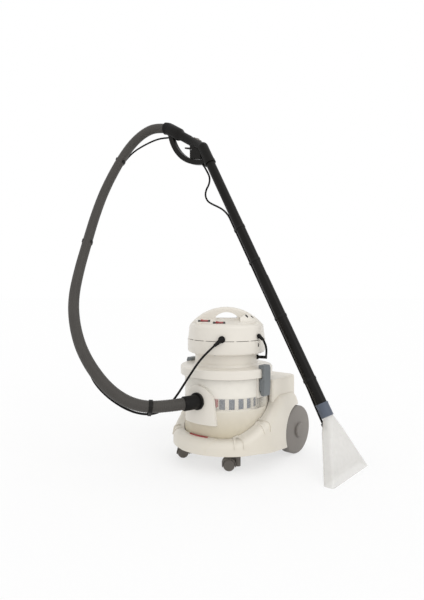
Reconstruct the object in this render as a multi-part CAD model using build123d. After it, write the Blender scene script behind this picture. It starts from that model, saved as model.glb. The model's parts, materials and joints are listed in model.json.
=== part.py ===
"""Drum carpet cleaner with a suction hose, a spray wand and a carpet nozzle.

Millimetres, +Z up. The origin is on the floor, on the drum's axis. The hose inlet faces -Y,
the rear wheels are at +Y, and the head is turned about Z so that its switches face 39.5 degrees
round towards +X.
"""
import math
import os

from build123d import *

# A box stands on its plane or hangs below it
SITTING = (Align.CENTER, Align.CENTER, Align.MIN)
HANGING = (Align.CENTER, Align.CENTER, Align.MAX)

# Chassis
CHASSIS_RADIUS = 180.0
CHASSIS_SIDE_TAPER = 6.5
CHASSIS_REAR = 240.0
CHASSIS_REAR_CORNER = 45.0
CHASSIS_WALL = 4.0
CHASSIS_SHOULDER = 24.0
MARK_HALF_WIDTH = 17.0
MARK_LINE = 4.6
MARK_RISE = 3.2
FRONT_TOP = 106.0
DECK_TOP = 216.0
DECK_START = 98.0
DECK_END = 196.0
REAR_TOP = 158.0
SLOPE_START = -103.0
FRONT_BOTTOM = 62.0
APRON_RISE = 1.6
REAR_BOTTOM = 40.0
SEAT_TOP = 80.0
SEAT_THICKNESS = 4.0

# Drum, inlet and filter
DRUM_RADIUS = 141.0
DRUM_WALL = 3.0
DRUM_TOP = 301.0
DRUM_LIP_RADIUS = 149.5
DRUM_LIP_HEIGHT = 5.0
POCKET_CLEARANCE = 2.0
INLET_HEIGHT = 218.0
INLET_BORE = 18.0
INLET_FLANGE_RADIUS = 27.5
SHIELD_RADIUS = 150.0
SHIELD_BOTTOM = 146.0
SHIELD_HALF_WIDTH = 63.0
SHIELD_ARCH_RADIUS = 56.0
SHIELD_ARCH_HEIGHT = 212.0
SHIELD_WALL = 3.0
BASKET_RADIUS = 110.0
BASKET_WALL = 3.0
BASKET_BOTTOM = 180.0
WINDOW_BOTTOM = 188.0
WINDOW_TOP = 225.0
WINDOW_COUNT = 22
WINDOW_ANGLE = 10.0
FLOAT_ANGLE = 18.5
FLOAT_BOTTOM = 199.0
FLOAT_HEIGHT = 36.0
FLOAT_WIDTH = 26.0
FLOAT_DEPTH = 14.0
FLOAT_ROD_RADIUS = 2.0
FLOAT_TRAVEL = 20.0

# Head
HEAD_TURN = 39.5
FLANGE_RADIUS = 155.0
FLANGE_TOP = 318.5
FLANGE_BOTTOM = 290.5
SEAL_HEIGHT = 2.2
NECK_RADIUS = 106.0
SKIRT_RADIUS = 131.0
SKIRT_BOTTOM = 362.5
SEAM_BOTTOM = 406.5
SEAM_GAP = 1.8
SHELL_WALL = 3.4
CAP_RADIUS = 130.0
CAP_TOP_RADIUS = 125.5
CAP_TOP = 460.0
CAP_EDGE = 14.0
SEAM_TABS = 16
HANDLE_HALF_SPAN = 119.0
HANDLE_HALF_DEPTH = 22.0
HANDLE_ROUND = 8.0
SCOOP_BACK_HEIGHT = 474.0
SCOOP_FRONT = 116.0
HAND_HOLE_HALF = 36.0
HAND_HOLE_BOTTOM = SCOOP_BACK_HEIGHT + 1.0
HAND_HOLE_TOP = HAND_HOLE_BOTTOM + 20.5
HANDLE_TOP = HAND_HOLE_TOP + 17.0
BLOCK_LEFT = 43.0
BLOCK_FRONT = 74.0
BLOCK_ROUND = 50.0
SLOT_PLACES = ((65.0, -57.0), (83.0, -47.0))
BLOCK_SHOULDER = SCOOP_BACK_HEIGHT + 6.0
BLOCK_SLOPE = 0.46
SWITCH_PLACES = ((-75.0, 60.0), (-26.0, 88.0))
SWITCH_SUNK = 2.2
SWITCH_RIM = 2.8
SWITCH_PAD_DEPTH = 18.0
BEZEL_LENGTH = 40.0
BEZEL_DEPTH = 24.0
BEZEL_THICKNESS = 4.0
BEZEL_RAIL = 2.0
ROCKER_LENGTH = 24.0
ROCKER_DEPTH = 15.0
ROCKER_HEIGHT = 12.0
ROCKER_TILT = 7.0

# Wheels and casters
WHEEL_RADIUS = 82.5
WHEEL_FACE = 166.0
WHEEL_WIDTH = 36.0
WHEEL_CENTRE_Y = 196.0
WELL_GAP = 4.5
AXLE_RADIUS = 5.0
RUNNING_GAP = 0.05
HUB_RADIUS = 24.0
HUB_STAND_OUT = 9.0
CASTER_X = 98.0
CASTER_Y = -68.0
CASTER_TRAIL = 28.0
CASTER_WHEEL_RADIUS = 18.25
CASTER_WHEEL_WIDTH = 10.0
CASTER_STEM_RADIUS = 5.0
CASTER_BOSS_BOTTOM = 54.0

# Latches
LATCH_HALF_WIDTH = 17.5
LATCH_FACE = 166.0
LATCH_BOTTOM = 233.0
LATCH_TOP = 330.0
LATCH_PIVOT_X = 150.0
LATCH_PIVOT_Z = 246.0
LATCH_PIN_RADIUS = 2.5

# Solution tank
TANK_HALF_WIDTH = 147.0
TANK_REAR = 217.0
TANK_FRONT = 62.0
TANK_TOP = 272.0
TANK_WALL = 3.0
TANK_ROUND = 6.0

# Hose, tubes and wand
HOSE_RADIUS = 19.0
HOSE_VALLEY_RADIUS = 17.4
HOSE_BORE_RADIUS = 15.5
HOSE_RIBS = 150
TUBE_RADIUS = 3.5
WAND_Y = 109.0
WAND_FOOT_X = 320.2
WAND_FOOT_Z = 170.1
WAND_LEAN = 28.78
WAND_LENGTH = 1076.0
UPPER_TUBE_RADIUS = 17.5
LOWER_TUBE_RADIUS = 18.5
LOWER_TUBE_LENGTH = 492.0
COLLAR_LENGTH = 44.0
CLIP_WALL = 1.3
STRAP_WALL = 2.2
STRAP_TUBE_WALL = 1.6
STRAP_WIDTH = 11.0
STRAP_SLACK = 0.9
STRAP_SHARES = (0.066, 0.591, 0.839)
CLIP_OPENING = 0.6
CLIP_WIDTH = 9.0
TUBE_OFFSET = 22.6
TUBE_STEP_OUT = 3.2
GRIP_ANGLE = 30.7
GRIP_LENGTH = 200.0
GRIP_RADIUS = 18.0
GRIP_END_RADIUS = 24.5
GRIP_END_LENGTH = 58.0
SOCKET_LENGTH = 77.0
TUBE_HELD_FROM = 296.0
NOZZLE_WIDTH = 254.0
NOZZLE_MOUTH_DEPTH = 34.0
NOZZLE_MOUTH_X = 385.0
NOZZLE_WALL = 2.5

HOSE_ROUTE = [
    (-10.8, -202.7, 217.2), (-34, -255.8, 215.5), (-72, -309, 217), (-121, -348, 236), (-189, -373, 281),
    (-295, -368, 361), (-390, -334, 445), (-472, -283, 537), (-532, -215, 641), (-573, -149, 750),
    (-601, -86, 874), (-607, -28, 994), (-580, 31, 1118), (-543, 58, 1180), (-497, 80, 1220),
    (-443, 96, 1236), (-395.5, 106, 1225),
]
CUFF_KNEE = (0, -178, 218)


def upright(radius, low, high):
    """A cylinder on the drum's axis between two heights."""
    return Pos(0, 0, low) * Cylinder(radius, high - low, align=SITTING)


def rod(start, end, radius):
    """A round bar from one point to another."""
    a, b = Vector(*start), Vector(*end)
    plane = Plane(origin=a, z_dir=b - a)
    return plane * Cylinder(radius, (b - a).length, align=SITTING)


def turned(points):
    """A body of revolution about Z from its (radius, height) outline."""
    return revolve(Plane.XZ * make_face(Polyline(*points, close=True)), axis=Axis.Z)


def side_plate(points, half_width, centre=0.0):
    """An (x, z) outline made a plate across Y."""
    plate = extrude(Plane.XZ * make_face(Polyline(*points, close=True)), amount=half_width, both=True)
    return Pos(0, centre, 0) * plate


def block(low, high):
    """A box between two corners."""
    size = [b - a for a, b in zip(low, high)]
    return Pos(*low) * Box(*size, align=(Align.MIN, Align.MIN, Align.MIN))


def around(angle):
    """The unit vector at an angle from the front (-Y) round towards +X."""
    return Vector(math.sin(math.radians(angle)), -math.cos(math.radians(angle)), 0)


def head_turn(shape):
    """Takes a shape from the head's own frame into the machine's."""
    return Rot(0, 0, HEAD_TURN) * shape


def save(name, shape):
    export_step(Compound(list(shape.solids())), os.path.join("parts", name + ".step"))


def chassis_form(grow, open_below=False):
    """The chassis's outer form, grown or shrunk all round, with its rounded shoulder."""
    taper = math.radians(CHASSIS_SIDE_TAPER)
    radius = CHASSIS_RADIUS + grow
    rear = CHASSIS_REAR + grow
    tangent = (radius * math.cos(taper), radius * math.sin(taper))
    corner = ((radius - rear * math.sin(taper)) / math.cos(taper), rear)
    outline = [
        ThreePointArc((-tangent[0], tangent[1]), (0, -radius), tangent),
        Line(tangent, corner),
        Line(corner, (-corner[0], rear)),
        Line((-corner[0], rear), (-tangent[0], tangent[1])),
    ]
    plan = make_face(outline)
    plan = fillet([v for v in plan.vertices() if v.Y > CHASSIS_REAR / 2], CHASSIS_REAR_CORNER + grow)
    low = -20.0 if open_below else 0.0
    reach = radius + 20
    side = make_face(Polyline(
        (-reach, FRONT_BOTTOM + low), (-60, FRONT_BOTTOM + low), (110, REAR_BOTTOM + low),
        (rear + 20, REAR_BOTTOM + low), (rear + 20, REAR_TOP - 20 + grow), (DECK_END, DECK_TOP + grow),
        (DECK_START, DECK_TOP + grow), (SLOPE_START, FRONT_TOP + grow), (-reach, FRONT_TOP + grow),
        close=True))
    bends = [v for v in side.vertices() if abs(v.Y - DECK_TOP - grow) < 0.01 or
             (abs(v.Y - FRONT_TOP - grow) < 0.01 and v.X > -reach + 1)]
    side = fillet(bends, 40)
    prism = extrude(plan, amount=400)
    slab = extrude(Plane.YZ * side, amount=300, both=True)
    form = prism & slab
    shoulder = [e for e in form.edges() if e.center().Z > FRONT_BOTTOM + 20 and on_wall(e, grow)]
    return fillet(shoulder, CHASSIS_SHOULDER + grow)


def on_wall(edge, grow):
    """True for an edge of the top that lies on the outer wall."""
    taper = math.radians(CHASSIS_SIDE_TAPER)
    ends = [edge @ 0.02, edge @ 0.5, edge @ 0.98]
    if max(p.Z for p in ends) - min(p.Z for p in ends) < 1e-6 and abs(edge @ 0 - edge @ 1) < 1e-6:
        return False
    radius = CHASSIS_RADIUS + grow
    for p in ends:
        flat = max(abs(p.X) * math.cos(taper) + p.Y * math.sin(taper),
                   math.hypot(p.X, p.Y) if p.Y < 40 else 0)
        if flat < radius - CHASSIS_REAR_CORNER and p.Y < CHASSIS_REAR + grow - 1:
            return False
    tangent = edge % 0.5
    return abs(tangent.Z) < 0.95


def tongue(half, low, high):
    """A tall arch-topped outline, in (across, up)."""
    return make_face([
        Line((-half, low), (half, low)), Line((half, low), (half, high - half)),
        ThreePointArc((half, high - half), (0, high), (-half, high - half)),
        Line((-half, high - half), (-half, low)),
    ])


def tool_mark(angle, low, high):
    """A raised arch-shaped line on the chassis's shoulder."""
    half, line = MARK_HALF_WIDTH, MARK_LINE
    out = around(angle)
    plane = Plane(origin=out * 140, x_dir=(-out.Y, out.X, 0), z_dir=out)
    ridge = extrude(plane * tongue(half, low, high), amount=70) - extrude(
        plane * tongue(half - line, low - 10, high - line), amount=70)
    return (chassis_form(MARK_RISE) - chassis_form(-CHASSIS_WALL / 2)) & ridge


def chassis():
    outer = chassis_form(0)
    shell = outer - chassis_form(-CHASSIS_WALL, open_below=True)
    pocket = DRUM_RADIUS + POCKET_CLEARANCE
    wall = upright(pocket + CHASSIS_WALL, SEAT_TOP - SEAT_THICKNESS, 300) & outer
    shell = shell + wall
    well = WHEEL_RADIUS + WELL_GAP
    inner_face = WHEEL_FACE - WHEEL_WIDTH - WELL_GAP
    for side in (-1, 1):
        a = (side * (inner_face - 3), WHEEL_CENTRE_Y, WHEEL_RADIUS)
        b = (side * 260, WHEEL_CENTRE_Y, WHEEL_RADIUS)
        shell = shell + (rod(a, b, well + 3) & outer)
    for angle, low, high in ((51, 84, 117), (84, 122, 161)):
        for side in (-1, 1):
            shell = shell + tool_mark(side * angle, low, high)
    shell = shell + front_apron()
    for side in (-1, 1):
        a = (side * inner_face, WHEEL_CENTRE_Y, WHEEL_RADIUS)
        shell = shell - rod(a, (side * 260, WHEEL_CENTRE_Y, WHEEL_RADIUS), well)
        boss = Pos(side * CASTER_X, CASTER_Y, 0) * upright(12, CASTER_BOSS_BOTTOM, SEAT_TOP - 1)
        bore = Pos(side * CASTER_X, CASTER_Y, 0) * upright(
            CASTER_STEM_RADIUS + RUNNING_GAP, CASTER_BOSS_BOTTOM - 1, SEAT_TOP - SEAT_THICKNESS)
        shell = shell + boss - bore
    shell = shell - upright(pocket, SEAT_TOP, 400)
    axle_hole = rod((-260, WHEEL_CENTRE_Y, WHEEL_RADIUS), (260, WHEEL_CENTRE_Y, WHEEL_RADIUS),
                    AXLE_RADIUS + RUNNING_GAP)
    return shell - axle_hole


def front_apron():
    """The slightly raised bib below the inlet."""
    outline = [(-45, FRONT_BOTTOM - 8), (45, FRONT_BOTTOM - 8), (50, FRONT_BOTTOM + 16),
               (74, FRONT_TOP + 6), (-74, FRONT_TOP + 6), (-50, FRONT_BOTTOM + 16)]
    prism = Pos(0, -CHASSIS_RADIUS, 0) * side_plate(outline, 46)
    return chassis_form(APRON_RISE) & prism


def front_strip():
    """Red strip on the chassis rim in front of the drum."""
    low = FRONT_TOP + APRON_RISE
    ring = upright(151, low, low + 2.6) - upright(144.5, low - 1, low + 4)
    return ring & block((-36, -160, 0), (36, -100, 200))


def wheel(side):
    """A moulded disc wheel with a tread step and a dished face."""
    inner, face = WHEEL_FACE - WHEEL_WIDTH, WHEEL_FACE
    bore = AXLE_RADIUS + RUNNING_GAP
    outline = [
        (bore, inner), (20, inner), (20, inner + 10), (66, inner + 10), (66, inner), (WHEEL_RADIUS - 1.5, inner),
        (WHEEL_RADIUS, inner + 1.5), (WHEEL_RADIUS, face - 6), (WHEEL_RADIUS - 2.5, face - 2.5),
        (WHEEL_RADIUS - 6, face - 1.2), (60, face), (bore, face),
    ]
    disc = revolve(Plane.XZ * make_face(Polyline(*outline, close=True)), axis=Axis.Z)
    return Pos(0, WHEEL_CENTRE_Y, WHEEL_RADIUS) * Rot(0, 90 * side, 0) * disc


def hub_cap(side):
    """Domed cap over the axle's end, turning with its wheel."""
    base, top = WHEEL_FACE, WHEEL_FACE + HUB_STAND_OUT
    outline = [(0, base + 7), (9, base + 7), (9, base), (HUB_RADIUS, base), (HUB_RADIUS, top - 3),
               (HUB_RADIUS - 3, top), (0, top)]
    cap = revolve(Plane.XZ * make_face(Polyline(*outline, close=True)), axis=Axis.Z)
    return Pos(0, WHEEL_CENTRE_Y, WHEEL_RADIUS) * Rot(0, 90 * side, 0) * cap


def wheel_axle():
    end = WHEEL_FACE + 5
    return rod((-end, WHEEL_CENTRE_Y, WHEEL_RADIUS), (end, WHEEL_CENTRE_Y, WHEEL_RADIUS), AXLE_RADIUS)


def caster_frame(side):
    """The caster's wheel centre and its rolling axis, both turned as the machine stands."""
    axis = around(HEAD_TURN)
    trail = Vector(-axis.Y, axis.X, 0) * -1 * CASTER_TRAIL
    return Vector(side * CASTER_X, CASTER_Y, CASTER_WHEEL_RADIUS) + trail, axis


def caster_yoke(side):
    """Hood and centre web between the twin wheels, with the swivel stem and the axle pin."""
    centre, axis = caster_frame(side)
    pivot = Vector(side * CASTER_X, CASTER_Y, 0)
    half = CASTER_WHEEL_WIDTH + 4.5
    hood_radius = CASTER_WHEEL_RADIUS + 4
    hood = rod(centre - axis * half, centre + axis * half, hood_radius)
    hood = hood - rod(centre - axis * 40, centre + axis * 40, CASTER_WHEEL_RADIUS + 1.2)
    web = rod(centre - axis * 3.6, centre + axis * 3.6, CASTER_WHEEL_RADIUS + 1.6)
    neck = Pos(pivot.X, pivot.Y, 0) * upright(9.5, 14, CASTER_BOSS_BOTTOM - 0.3)
    foot = Vector(centre.X, centre.Y, 0)
    along = Plane(origin=foot, x_dir=pivot - foot, z_dir=(0, 0, 1))
    bridge = along * block((0, -3.6, 20), (CASTER_TRAIL, 3.6, 46))
    yoke = (hood + web) & (along * block((-60, -60, CASTER_WHEEL_RADIUS - 5), (60, 60, 80)))
    room = rod(centre + axis * 3.9, centre + axis * 40, CASTER_WHEEL_RADIUS + 1.2)
    room = room + rod(centre - axis * 3.9, centre - axis * 40, CASTER_WHEEL_RADIUS + 1.2)
    yoke = yoke + bridge + (neck - room)
    stem = Pos(pivot.X, pivot.Y, 0) * upright(
        CASTER_STEM_RADIUS, CASTER_BOSS_BOTTOM - 2, SEAT_TOP - SEAT_THICKNESS - 1)
    return yoke + stem + rod(centre - axis * 14.5, centre + axis * 14.5, 2.5)


def caster_wheels(side):
    """The pair of small wheels, one each side of the web."""
    centre, axis = caster_frame(side)
    pair = []
    for way in (-1, 1):
        inner, outer = centre + axis * way * 4.0, centre + axis * way * (4.0 + CASTER_WHEEL_WIDTH)
        disc = rod(inner, outer, CASTER_WHEEL_RADIUS)
        disc = chamfer(disc.edges().filter_by(GeomType.CIRCLE), 1.2)
        pair.append(disc - rod(inner - axis * way, outer + axis * way * 2, 2.5 + RUNNING_GAP))
    return Compound(pair)


def drum():
    """Clear recovery drum with its rolled lip and the inlet hole."""
    bottom = SEAT_TOP
    body = turned([
        (0, bottom), (DRUM_RADIUS - 8, bottom), (DRUM_RADIUS, bottom + 8),
        (DRUM_RADIUS, DRUM_TOP - DRUM_LIP_HEIGHT),
        (DRUM_LIP_RADIUS, DRUM_TOP - DRUM_LIP_HEIGHT), (DRUM_LIP_RADIUS, DRUM_TOP),
        (DRUM_RADIUS - DRUM_WALL, DRUM_TOP), (DRUM_RADIUS - DRUM_WALL, bottom + 9),
        (DRUM_RADIUS - 9, bottom + DRUM_WALL + 0.5), (0, bottom + DRUM_WALL + 0.5),
    ])
    return body - rod((0, -170, INLET_HEIGHT), (0, -100, INLET_HEIGHT), INLET_BORE + 3.2)


def shield_outline(inset):
    """Arch-topped outline of the inlet shield, in (x, z)."""
    arch = SHIELD_ARCH_RADIUS - inset
    base = SHIELD_HALF_WIDTH - inset
    low = SHIELD_BOTTOM + inset
    centre = SHIELD_ARCH_HEIGHT
    return make_face([
        Line((-base, low), (base, low)), Line((base, low), (arch, centre)),
        ThreePointArc((arch, centre), (0, centre + arch), (-arch, centre)), Line((-arch, centre), (-base, low)),
    ])


def inlet_shield():
    """White cover round the hose inlet, standing off the drum on its own rim."""
    def prism(inset):
        return extrude(Plane.XZ * shield_outline(inset), amount=200)
    outer = upright(SHIELD_RADIUS, 100, 300) - upright(DRUM_RADIUS + 0.05, 90, 310)
    hollow = upright(SHIELD_RADIUS - SHIELD_WALL, 100, 300) - upright(DRUM_RADIUS - 1, 90, 310)
    cover = (outer & prism(0)) - (hollow & prism(SHIELD_WALL))
    return cover - rod((0, -170, INLET_HEIGHT), (0, -100, INLET_HEIGHT), INLET_BORE + 3.2)


def inlet_spigot():
    """Black flanged spigot through the shield and the drum wall, hooded so that water falls."""
    face, back = -SHIELD_RADIUS - 0.3, -113.0
    body = rod((0, back, INLET_HEIGHT), (0, face - 8, INLET_HEIGHT), INLET_BORE + 3)
    flange = rod((0, face, INLET_HEIGHT), (0, face - 8, INLET_HEIGHT), INLET_FLANGE_RADIUS)
    flange = chamfer(flange.faces().sort_by(Axis.Y)[0].edges(), 2)
    spout = block((-INLET_BORE, -128, INLET_HEIGHT - 40), (INLET_BORE, back - 3, INLET_HEIGHT))
    return body + flange - rod((0, back - 3, INLET_HEIGHT), (0, face - 9, INLET_HEIGHT), INLET_BORE) - spout


def behind(end, beyond):
    """The half space behind a cord's end, square to its first run."""
    plane = Plane(origin=end, z_dir=Vector(*beyond) - Vector(*end))
    return plane * Box(300, 300, 300, align=HANGING)


def bent_cuff(points, radius):
    """A hollow rubber cuff along a bent route, square at both ends."""
    path, _ = route_path(points)
    wire = path.wire()
    start = Plane(origin=wire @ 0, z_dir=wire % 0)
    return sweep(start * (Circle(radius) - Circle(HOSE_BORE_RADIUS)), path=wire)


def machine_cuff():
    """Bent rubber cuff between the spigot and the hose."""
    start = -SHIELD_RADIUS - 8.3
    cuff = bent_cuff([(0, start, INLET_HEIGHT), CUFF_KNEE, HOSE_ROUTE[0]], 22.5)
    return cuff & behind(HOSE_ROUTE[0], HOSE_ROUTE[1])


def filter_basket():
    """Cage under the head with a ring of windows, and the ledge and rod that carry the float."""
    top = FLANGE_TOP - 4
    inner = BASKET_RADIUS - BASKET_WALL
    cage = turned([
        (inner - 4, BASKET_BOTTOM), (BASKET_RADIUS, BASKET_BOTTOM), (BASKET_RADIUS, top - 3.5),
        (136, top - 3.5), (136, top), (inner, top), (inner, BASKET_BOTTOM + 3), (0, BASKET_BOTTOM + 3),
        (0, BASKET_BOTTOM),
    ])
    half = BASKET_RADIUS * math.radians(WINDOW_ANGLE) / 2
    window = block((-half, -BASKET_RADIUS - 5, WINDOW_BOTTOM), (half, -BASKET_RADIUS + 8, WINDOW_TOP))
    for i in range(WINDOW_COUNT):
        turn = HEAD_TURN + 7.5 + i * 360 / WINDOW_COUNT
        cage = cage - Rot(0, 0, turn) * window
    low = FLOAT_BOTTOM
    ledge = block((-FLOAT_WIDTH / 2, -BASKET_RADIUS - 18, low - 4),
                  (FLOAT_WIDTH / 2, -BASKET_RADIUS + 1, low - 0.3))
    top_rest = low + FLOAT_HEIGHT + FLOAT_TRAVEL + 1
    roof = block((-FLOAT_WIDTH / 2, -BASKET_RADIUS - 18, top_rest),
                 (FLOAT_WIDTH / 2, -BASKET_RADIUS + 1, top_rest + 3))
    pin = Pos(0, -BASKET_RADIUS - 9.5, 0) * upright(FLOAT_ROD_RADIUS, low - 2, top_rest + 2)
    return cage + Rot(0, 0, FLOAT_ANGLE) * (ledge + roof + pin)


def float_block():
    """Red float that rises on its rod and shuts off the suction."""
    body = block((-FLOAT_WIDTH / 2, -BASKET_RADIUS - 3 - FLOAT_DEPTH, FLOAT_BOTTOM),
                 (FLOAT_WIDTH / 2, -BASKET_RADIUS - 3, FLOAT_BOTTOM + FLOAT_HEIGHT))
    body = fillet(body.edges().filter_by(Axis.Z), 3)
    body = body - Pos(0, -BASKET_RADIUS - 9.5, 0) * upright(FLOAT_ROD_RADIUS + 0.35, 0, 400)
    return Rot(0, 0, FLOAT_ANGLE) * body


def filter_cartridge():
    """Blue-grey sleeve filter inside the basket."""
    outer = BASKET_RADIUS - BASKET_WALL - 0.3
    return upright(outer, BASKET_BOTTOM + 3, 300) - upright(outer - 9, BASKET_BOTTOM + 6, 301)


def drum_seal():
    return upright(148.5, DRUM_TOP, DRUM_TOP + SEAL_HEIGHT) - upright(139.5, DRUM_TOP - 1, DRUM_TOP + 9)


def head_lower_shell():
    """Lid flange, neck and skirt in one moulding, with the ledge that carries the fan."""
    inside = NECK_RADIUS - SHELL_WALL
    top, bottom = FLANGE_TOP, FLANGE_BOTTOM
    foot = DRUM_TOP + SEAL_HEIGHT
    shell = turned([
        (150.3, bottom), (FLANGE_RADIUS - 1, bottom), (FLANGE_RADIUS, bottom + 1), (FLANGE_RADIUS, top - 3),
        (FLANGE_RADIUS - 3, top), (NECK_RADIUS + 8, top), (NECK_RADIUS + 2.5, top + 3), (NECK_RADIUS, top + 9),
        (NECK_RADIUS, top + 11), (NECK_RADIUS - 0.9, top + 11.5), (NECK_RADIUS - 0.9, top + 12.8),
        (NECK_RADIUS, top + 13.3), (NECK_RADIUS, SKIRT_BOTTOM - 6.5), (NECK_RADIUS + 1.4, SKIRT_BOTTOM - 6),
        (NECK_RADIUS + 1.8, SKIRT_BOTTOM - 2),
        (NECK_RADIUS + 5, SKIRT_BOTTOM), (SKIRT_RADIUS - 8, SKIRT_BOTTOM),
        (SKIRT_RADIUS - 2.5, SKIRT_BOTTOM + 2.5), (SKIRT_RADIUS, SKIRT_BOTTOM + 8), (SKIRT_RADIUS, SEAM_BOTTOM),
        (SKIRT_RADIUS - SHELL_WALL, SEAM_BOTTOM), (SKIRT_RADIUS - SHELL_WALL, SKIRT_BOTTOM + 9),
        (SKIRT_RADIUS - 9, SKIRT_BOTTOM + SHELL_WALL), (NECK_RADIUS + 3, SKIRT_BOTTOM + SHELL_WALL),
        (inside, SKIRT_BOTTOM - 4), (inside, top + 7), (inside - 9, top + 7), (inside - 9, top + 3),
        (inside, top + 3), (inside, top - 4), (138, top - 4), (138, foot), (149, foot), (149, top - 4),
        (150.3, top - 4),
    ])
    slot = block((120, -2.5, 386), (140, 2.5, 398))
    for angle, radius, height in ((FITTING_ANGLE, 5.1, FITTING_HEIGHT),):
        out = around(angle)
        shell = shell - rod(out * 90 + Vector(0, 0, height), out * 125 + Vector(0, 0, height), radius)
    return shell - slot - gland_holes()


FITTING_ANGLE = 112.0
FITTING_HEIGHT = 347.0
GLANDS = {
    "front_gland": (31.5, 414.5, 7.0, 11.0, 8.0),
    "side_gland": (90.0, 421.0, 5.0, 7.8, 6.5),
    "mains_gland": (200.0, 425.0, 5.0, 9.0, 8.0),
}


def gland_holes():
    """The holes for the glands' shanks in the head's shells."""
    holes = None
    for angle, height, shank, _, _ in GLANDS.values():
        out, lift = around(angle), Vector(0, 0, height)
        hole = rod(out * 100 + lift, out * 150 + lift, shank + 0.1)
        holes = hole if holes is None else holes + hole
    return holes


def gland(name):
    """A gland's shank, flange and rounded boot; the boot's end is square to the tube."""
    angle, height, shank, flange, nose = GLANDS[name]
    out, lift = around(angle), Vector(0, 0, height)
    back = SKIRT_RADIUS + 0.3
    body = rod(out * 112 + lift, out * (back + 4) + lift, shank)
    body = body + rod(out * back + lift, out * (back + 4) + lift, flange)
    ball = out * (back + 4) + lift
    end = Vector(*gland_end(name))
    boot = Pos(*ball) * Sphere(nose) & (Plane(origin=ball, z_dir=out) * Box(60, 60, 60, align=SITTING))
    way = (end - ball).normalized()
    taper = Plane(origin=ball, z_dir=way) * Cone(
        nose - 0.5, TUBE_RADIUS + 1.2, (end - ball).length + 2, align=SITTING)
    outside = Plane(origin=out * back + lift, z_dir=out) * Box(200, 200, 200, align=SITTING)
    boot = boot + (taper & outside)
    routes = {"front_gland": SPRAY_ROUTE, "side_gland": TANK_ROUTE}
    if name in routes:
        boot = boot & behind(routes[name][0], routes[name][1])
    return body + boot


def gland_end(name):
    """Where the tube leaves a gland; the mains gland points straight out."""
    if name == "front_gland":
        return SPRAY_ROUTE[0]
    if name == "side_gland":
        return TANK_ROUTE[0]
    angle, height = GLANDS[name][:2]
    end = around(angle) * (SKIRT_RADIUS + 30) + Vector(0, 0, height)
    return (end.X, end.Y, end.Z)


SPRAY_ROUTE = [
    (58, -136, 396), (38, -155, 371), (19, -170, 342), (4, -184, 311), (-12, -197, 279), (-27, -207, 250),
    (-44, -220, 221), (-55, -247, 199), (-68, -283, 190), (-96, -318, 196), (-136, -344, 214), (-186, -367, 247),
    (-238, -373, 285), (-282, -357, 319), (-324, -338, 369), (-391, -315, 427), (-452, -283, 490),
    (-505, -244, 558), (-545, -198, 630), (-576, -152, 707), (-600, -107, 789), (-616, -66, 873),
    (-622, -25, 959), (-612, 16, 1046), (-592, 48, 1102), (-558, 73, 1149), (-510, 89, 1172), (-462, 100, 1186),
    (-420, 107, 1191), (-384, 109, 1186),
]
TANK_ROUTE = [
    (148, 2, 410), (154, 6, 397), (154, 12, 380), (148, 21, 364), (138, 34, 352), (128, 50, 347),
]


def handle_arch():
    """Height of the handle's centre of curvature, and its radius."""
    rise = HANDLE_TOP - CAP_TOP + 2
    radius = (HANDLE_HALF_SPAN ** 2 + rise ** 2) / (2 * rise)
    return HANDLE_TOP - radius, radius


def arched(front, back, front_round, back_round):
    """A disc on the handle's arch between two depths, its rim rounded to each face."""
    centre, radius = handle_arch()
    bend = math.sqrt(0.5)
    outline = make_face([
        Line((0, front), (radius - front_round, front)),
        ThreePointArc((radius - front_round, front),
                      (radius - front_round * (1 - bend), front + front_round * (1 - bend)),
                      (radius, front + front_round)),
        Line((radius, front + front_round), (radius, back - back_round)),
        ThreePointArc((radius, back - back_round),
                      (radius - back_round * (1 - bend), back - back_round * (1 - bend)),
                      (radius - back_round, back)),
        Line((radius - back_round, back), (0, back)), Line((0, back), (0, front)),
    ])
    return Pos(0, 0, centre) * revolve(outline, axis=Axis.Y)


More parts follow.
